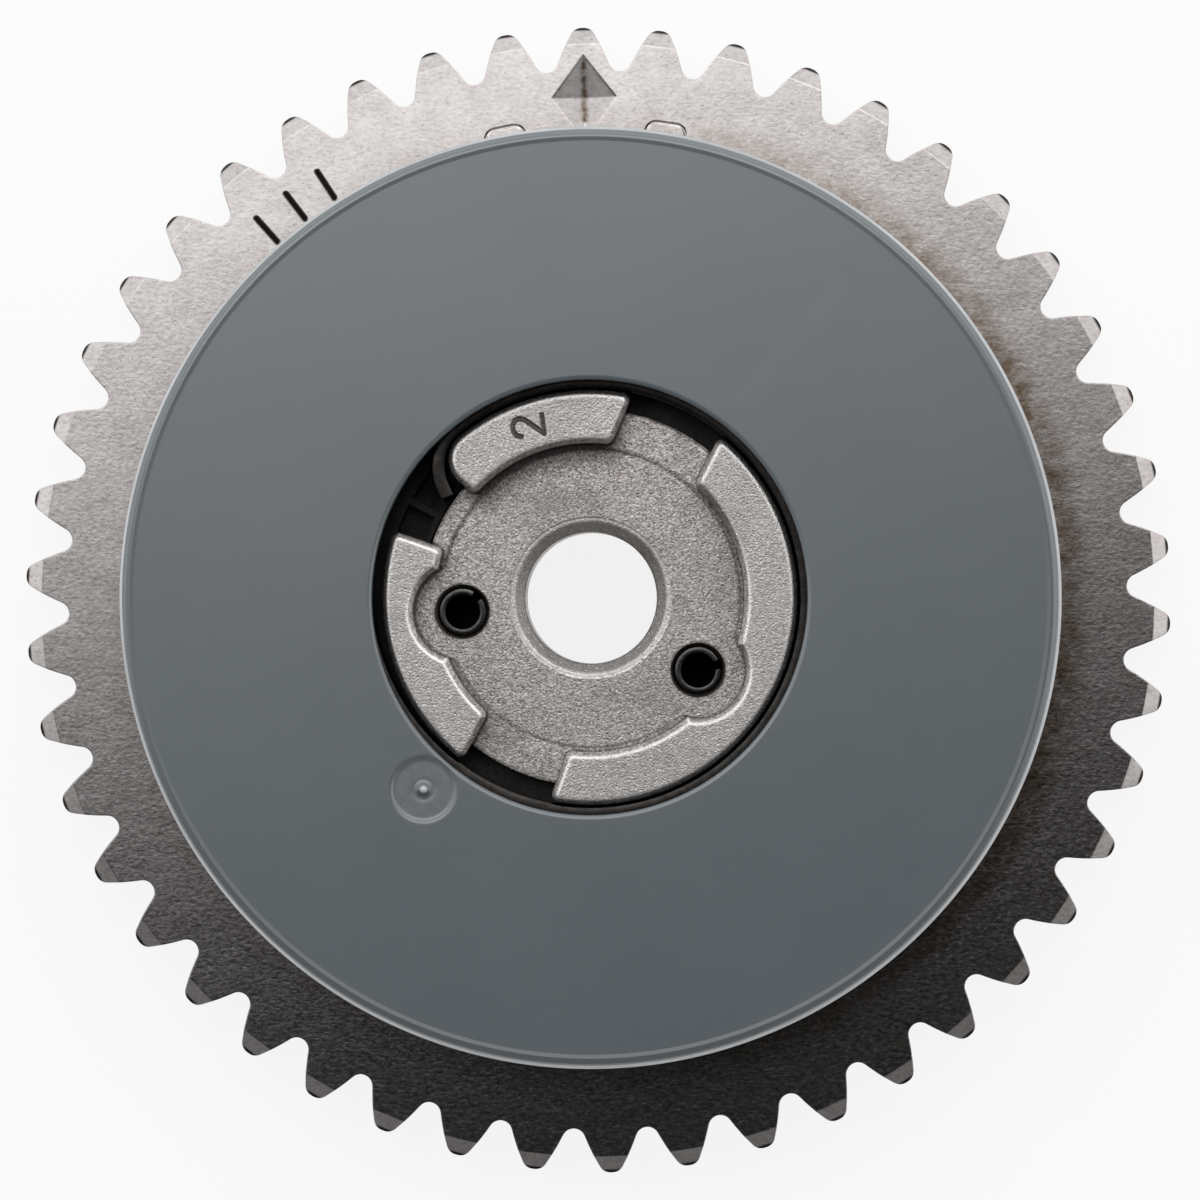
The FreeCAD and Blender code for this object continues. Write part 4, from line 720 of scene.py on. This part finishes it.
def coverOutline(look, outside, inside, skirtEnd):
    # Corners of (radius, height, rounding): up the skirt, over the shoulder and the bead,
    # in to the opening and back under the top.
    top, opening, edge = look["top"], look["opening"], look["edgeRounding"]
    bead, foot = top + look["beadHeight"], outside - look["beadWidth"]
    facetTop, shoulder = bead - look["facetDrop"], outside - look["facetWidth"]
    corners = np.array([
        (outside, skirtEnd, edge),
        (outside, facetTop - look["facetHeight"], look["facetRounding"]),
        (shoulder, facetTop, look["facetRounding"]),
        (shoulder - 0.1, bead - look["beadFall"], look["shoulderRounding"]),
        (foot + look["beadSlope"], bead, look["beadRounding"]),
        (foot, top, look["beadRounding"]),
        (opening, top, look["lipRounding"]),
        (opening, top - look["wall"], edge),
        (inside, top - look["wall"], look["innerRounding"]),
        (inside, skirtEnd, edge),
    ])
    return roundedLoop(corners[:, :2], corners[:, 2], look["cornerSteps"])


def gateRelief(x, y, gate):
    # A shallow round recess, a ring round the nib and the torn nib itself, by distance
    # from the middle of the gate mark.
    middle = polar(gate["placeRadius"], gate["angle"])
    away = np.hypot(x - middle[0], y - middle[1])
    recess = gate["depth"] / 2 * (np.tanh((away - gate["radius"]) / gate["wallWidth"]) - 1)
    ring = -gate["ringDepth"] * np.exp(-((away - gate["nibRadius"] * 1.6) / gate["ringWidth"]) ** 2)
    nib = gate["nibHeight"] * np.exp(-(away / gate["nibRadius"]) ** 2)
    return recess + ring + nib


def buildCover(look, gate):
    low, high = boxOf("spring_cover")
    outside, skirtEnd, top = high[0], low[2] + look["clipLength"], look["top"]
    inside = outside - look["wall"]
    outline = coverOutline(look, outside, inside, skirtEnd)
    # Extra rows on the top, after the foot of the bead, and closer ones across the mark
    near = gate["radius"] + gate["meshMargin"]
    outer, inner = gate["placeRadius"] + near, gate["placeRadius"] - near
    rows = np.concatenate([np.linspace(outside - 2.0, outer, gate["farRows"]),
                           np.arange(outer, inner + 0.3, -gate["rowStep"])[1:]])
    rows = rows[rows > look["opening"] + look["lipRounding"] + 0.05]
    onTop = np.stack([rows, np.full(len(rows), top)], axis=1)
    split = 6 * look["cornerSteps"]  # the foot of the bead is the sixth corner
    profile = np.concatenate([outline[:split], onTop, outline[split:]])
    # Closer columns there too
    spread = math.degrees(near / gate["placeRadius"])
    fine = np.arange(-spread, spread, gate["columnStep"]) + gate["angle"]
    rest = np.linspace(gate["angle"] + spread, gate["angle"] - spread + 360, gate["farColumns"])[:-1]
    grid = turnedSurface(profile, np.concatenate([fine, rest]))
    level = np.abs(grid[..., 2] - top) < 0.001
    grid[..., 2] += np.where(level, gateRelief(grid[..., 0], grid[..., 1], gate), 0)
    faces = gridFaces(*grid.shape[:2], True, True).tolist()
    addPiece("coverShell", grid.reshape(-1, 3), faces, "grey_cover", "housing", "spring_cover")
    buildClips(look, low[2], skirtEnd, inside, outside)


def buildClips(look, foot, skirtEnd, inside, outside):
    # Each clip is a hooked profile turned through a few degrees.
    hookTop, hookTip = boxOf("front_plate")[0][2] - look["clipGap"], inside - look["clipHook"]
    root = skirtEnd + look["clipRoot"]
    corners = [(outside, foot), (outside, root), (inside, root), (inside, hookTop),
               (hookTip, hookTop), (hookTip, foot + look["clipToe"]), (inside, foot)]
    profile = roundedLoop(corners, look["clipRounding"], 4)
    half = look["clipAngle"] / 2
    for number in range(look["clipCount"]):
        middle = look["firstClipAngle"] + number * 360 / look["clipCount"]
        points, faces = sectorPiece(profile, middle - half, middle + half, 12)
        addPiece(f"coverClip{number + 1}", points, faces, "grey_cover", "housing", "spring_cover")


buildCover(cover, gateMark)
print("cover made")


# Slotted spring pins, rolled from strip with rounded ends

rollPins = {
    "wall": 0.75,
    "slot": 1.0,
    "slotBevel": 1.5,  # degrees more on each side
    "endRounding": 0.28,
    "innerRounding": 0.15,
    "slotAngles": {"roll_pin_left": 47, "roll_pin_right": 15},
}


def buildRollPins(look):
    for node, slotAngle in look["slotAngles"].items():
        low, high = boxOf(node)
        middle, outer = (low + high)[:2] / 2, (high - low)[0] / 2
        inner = outer - look["wall"]
        corners = [(outer, low[2]), (outer, high[2]), (inner, high[2]), (inner, low[2])]
        radii = [look["endRounding"]] * 2 + [look["innerRounding"]] * 2
        profile = roundedLoop(corners, radii, 5)
        gap = math.degrees(look["slot"] / 2 / outer) + look["slotBevel"]
        start = slotAngle + gap
        points, faces = sectorPiece(profile, start, start + 360 - 2 * gap, 72, middle)
        addPiece(node.replace("roll_pin", "rollPin"), points, faces, "black_spring_steel", "rotor", node)


buildRollPins(rollPins)
print("spring pins made")


# Bias spring: a flat band wound outwards from the tang on the top lug to the anchor pin

biasBand = {
    "thickness": 1.5,
    "edgeRounding": 0.25,
    "coilRadius": 22.05,  # middle of the innermost coil
    "growth": 1.3,  # of the radius in each half turn
    "halfTurns": 5,
    "tangAngle": 128.0,
    "tangBend": 5.0,
    "tangSweep": 76.0,
    "tangEnd": 1.2,
    "firstCoil": 230.0,  # degrees that hug the lugs
    "lastCoil": 76.5,
    "hookBend": 2.55,
    "hookSweep": 150.0,
    "stepAngle": 2.5,
    "woundFrom": (-12.0, 0, 0),
    "woundTo": (28.0, 0, 0),
}


def bandArcs(look):
    # Arcs of (centre, radius, first angle, last angle) joined in line: half turns about
    # two centres in turn let the coil grow.
    coil, grow, start = look["coilRadius"], look["growth"], look["tangAngle"]
    bend, hook = look["tangBend"], look["hookBend"]
    arcs = [(polar(coil - bend, start), bend, start + look["tangSweep"], start)]
    angle = start - look["firstCoil"]
    arcs.append((np.zeros(2), coil, start, angle))
    centres = np.zeros(2), polar(-grow, angle)
    for halfTurn in range(1, look["halfTurns"] + 1):
        arcs.append((centres[halfTurn % 2], coil + halfTurn * grow, angle, angle - 180))
        angle -= 180
    radius, end = coil + (look["halfTurns"] + 1) * grow, angle - look["lastCoil"]
    arcs.append((centres[0], radius, angle, end))
    arcs.append((polar(radius + hook, end), hook, end + 180, end + 180 + look["hookSweep"]))
    return arcs


def bandRoute(look):
    # Points along the arcs, with the outward direction at each.
    places, outward = [], []
    for centre, radius, first, last in bandArcs(look):
        steps = max(12, round(abs(last - first) / look["stepAngle"]))
        direction = polar(1, np.linspace(first, last, steps))
        places.append((centre + radius * direction)[1:] if places else centre + radius * direction)
        outward.append((direction if last < first else -direction)[-len(places[-1]):])
    places, outward = np.concatenate(places), np.concatenate(outward)
    tip = places[0] + look["tangEnd"] * polar(1, look["tangAngle"] + look["tangSweep"] + 90)
    return np.vstack([tip, places]), np.vstack([outward[0], outward])


def buildBiasBand(look):
    low, high = boxOf("bias_spring")
    half, width = look["thickness"] / 2, high[2] - low[2]
    corners = [(-half, 0), (half, 0), (half, width), (-half, width)]
    profile = roundedLoop(corners, look["edgeRounding"], 4)
    flat, outward = bandRoute(look)
    route = np.column_stack([flat, np.full(len(flat), low[2])])
    points, faces = sweptPiece(route, outward, profile)
    piece = addPiece("biasBand", points, faces, "spring_band", None, "bias_spring")
    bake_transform(piece)


# Spring behind the lock pin: round wire along a helix

lockSpring = {"wireRadius": 0.3, "turns": 5.5, "stepsPerTurn": 24, "travel": 2.0}


def buildLockSpring(look):
    low, high = boxOf("lock_pin_spring")
    middle, wire = (low + high) / 2, look["wireRadius"]
    angles = np.linspace(0, 360 * look["turns"], round(look["stepsPerTurn"] * look["turns"]) + 1)
    outward = polar(1, angles)
    rise = np.linspace(low[2] + wire, high[2] - wire, len(angles))
    coil = (high - low)[0] / 2 - wire
    route = np.column_stack([middle[:2] + coil * outward, rise])
    profile = wire * polar(1, np.arange(360, 0, -30.0))
    points, faces = sweptPiece(route, outward, profile)
    piece = addPiece("lockCoil", points, faces, "black_spring_steel", "rotor", "lock_pin_spring")
    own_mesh(piece)


buildBiasBand(biasBand)
buildLockSpring(lockSpring)
print("springs made")


# Stage, lamps and camera

stage = {
    "floorRadius": 4000.0,
    "floorHeight": -0.05,
    "floorBrightness": 0.86,  # of its colour and of its glow
    "brightAngle": 103,  # the side that the lamps stand on, in degrees from X
    "boxHeight": 1.1,  # the lamps' sizes and places are in metres
    "boxWidth": 1.1,
    # From, to and brightness
    "boxStrips": ((-0.035, 0.02, 0.2), (0.02, 0.085, 0.62), (0.085, 0.125, 1.1), (0.125, 0.4, 1.8),
                  (0.4, 0.8, 2.6)),
    "brightWallAngle": 85,
    "wallSides": (-0.5, 0.1),  # cosines to the bright wall: dark side below, bright above
    "wallBrightness": (0.25, 1.4),  # of the dark side and of the bright side
    "horizonBrightness": (0.28, 1.8),
    "wallHeights": (0.15, 0.5),  # cosines to Z: horizon below, wall above
    "ceilingHeights": (0.68, 0.93),  # wall below, ceiling above
    "ceilingBrightness": 0.01,  # as a share of the wall's
}


def floorMaterial(look):
    # Rays from the camera and in mirrors see a glowing floor, other rays see a pale one;
    # from below it is clear.
    bright = look["floorBrightness"]
    recipe = Recipe("paleFloor", Roughness=0.9)
    recipe.shader.inputs["Base Color"].default_value = (bright, bright, bright, 1)
    recipe.shader.inputs["Specular IOR Level"].default_value = 0.0
    glow = recipe.add("ShaderNodeEmission")
    glow.inputs["Color"].default_value = (1, 1, 1, 1)
    path = recipe.add("ShaderNodeLightPath")
    seen = recipe.math("MAXIMUM", path.outputs["Is Camera Ray"], path.outputs["Is Glossy Ray"])
    seen = recipe.math("MAXIMUM", seen, path.outputs["Is Transmission Ray"])
    above, sides = recipe.add("ShaderNodeMixShader"), recipe.add("ShaderNodeMixShader")
    clear = recipe.add("ShaderNodeBsdfTransparent")
    inputs = ((above, recipe.product(seen, bright), recipe.shader, glow),
              (sides, recipe.geometry("Backfacing"), above, clear))
    for mix, share, first, second in inputs:
        recipe.feed(mix.inputs[0], share)
        recipe.feed(mix.inputs[1], first.outputs[0])
        recipe.feed(mix.inputs[2], second.outputs[0])
    recipe.feed(recipe.output.inputs[0], sides.outputs[0])
    return recipe.material


def buildFloor(look):
    around = polar(look["floorRadius"], np.arange(0, 360, 5.0))
    points = np.column_stack([around, np.full(len(around), look["floorHeight"])])
    mesh = bpy.data.meshes.new("floor")
    mesh.from_pydata((points * mm).tolist(), [], [list(range(len(points)))])
    mesh.materials.append(floorMaterial(look))
    floor = bpy.data.objects.new("floor", mesh)
    bpy.context.scene.collection.objects.link(floor)


def addLamp(name, place, turn, size, brightness):
    # Area lamp whose power makes its face shine with the given brightness.
    lamp = bpy.data.lights.new(name, "AREA")
    lamp.shape = "RECTANGLE"
    lamp.size, lamp.size_y = size
    lamp.energy = brightness * math.pi * size[0] * size[1]
    piece = bpy.data.objects.new(name, lamp)
    piece.location = place
    piece.rotation_euler = (0, 0, math.radians(turn))
    bpy.context.scene.collection.objects.link(piece)


def buildLamps(look):
    # Strips side by side overhead, each brighter than the one before.
    toward = polar(1, look["brightAngle"])
    for number, (near, far, brightness) in enumerate(look["boxStrips"], start=1):
        place, size = (*toward * (near + far) / 2, look["boxHeight"]), (look["boxWidth"], far - near)
        addLamp(f"softBox{number}", place, look["brightAngle"] - 90, size, brightness)


def worldRamp(tree, source, *limits):
    # From the first two limits to the last two, eased.
    node = tree.nodes.new("ShaderNodeMapRange")
    node.interpolation_type = "SMOOTHSTEP"
    for socket, value in zip(node.inputs, (source, *limits)):
        if isinstance(value, bpy.types.NodeSocket):
            tree.links.new(value, socket)
        else:
            socket.default_value = value
    return node.outputs[0]


def buildWorld(look):
    # Dark ceiling above bright walls; one side of the walls is dark down to the horizon.
    world = bpy.data.worlds.new("studio")
    bpy.context.scene.world = world
    world.use_nodes = True
    tree = world.node_tree
    background = tree.nodes["Background"]
    background.inputs["Color"].default_value = (1, 1, 1, 1)
    direction = tree.nodes.new("ShaderNodeTexCoord").outputs["Generated"]
    split = tree.nodes.new("ShaderNodeSeparateXYZ")
    tree.links.new(direction, split.inputs[0])
    side = tree.nodes.new("ShaderNodeVectorMath")
    side.operation = "DOT_PRODUCT"
    tree.links.new(direction, side.inputs[0])
    side.inputs[1].default_value = (*polar(1, look["brightWallAngle"]), 0)
    wall = worldRamp(tree, side.outputs["Value"], *look["wallSides"], *look["wallBrightness"])
    horizon = worldRamp(tree, side.outputs["Value"], *look["wallSides"], *look["horizonBrightness"])
    around = worldRamp(tree, split.outputs["Z"], *look["wallHeights"], horizon, wall)
    ceiling = worldRamp(tree, split.outputs["Z"], *look["ceilingHeights"], 1.0, look["ceilingBrightness"])
    level = tree.nodes.new("ShaderNodeMath")
    level.operation = "MULTIPLY"
    tree.links.new(ceiling, level.inputs[0])
    tree.links.new(around, level.inputs[1])
    tree.links.new(level.outputs[0], background.inputs["Strength"])


view = {
    "place": (0.0180, -0.0055, 0.708),  # metres
    "target": (0.00033, -0.00004, 0.008),
    "photoWidth": 1200,  # pixels
    "pixelSize": 0.00010612,  # of the photograph, on the sprocket's front face
    "sensorWidth": 36,
    "clip": (0.05, 20),
}


def buildCamera(look):
    camera = bpy.data.objects.new("camera", bpy.data.cameras.new("camera"))
    place, target = np.array(look["place"]), np.array(look["target"])
    distance = np.linalg.norm(place - target)
    camera.data.sensor_width = look["sensorWidth"]
    camera.data.lens = look["sensorWidth"] * distance / (look["photoWidth"] * look["pixelSize"])
    camera.data.clip_start, camera.data.clip_end = look["clip"]
    camera.location = look["place"]
    aim = (target - place) / distance
    camera.rotation_euler = (math.asin(aim[1]), math.asin(-aim[0]), 0)
    bpy.context.scene.collection.objects.link(camera)
    bpy.context.scene.camera = camera


buildFloor(stage)
buildLamps(stage)
buildWorld(stage)
buildCamera(view)
bpy.context.scene.view_settings.view_transform = "Standard"
print("stage, lamps and camera made")
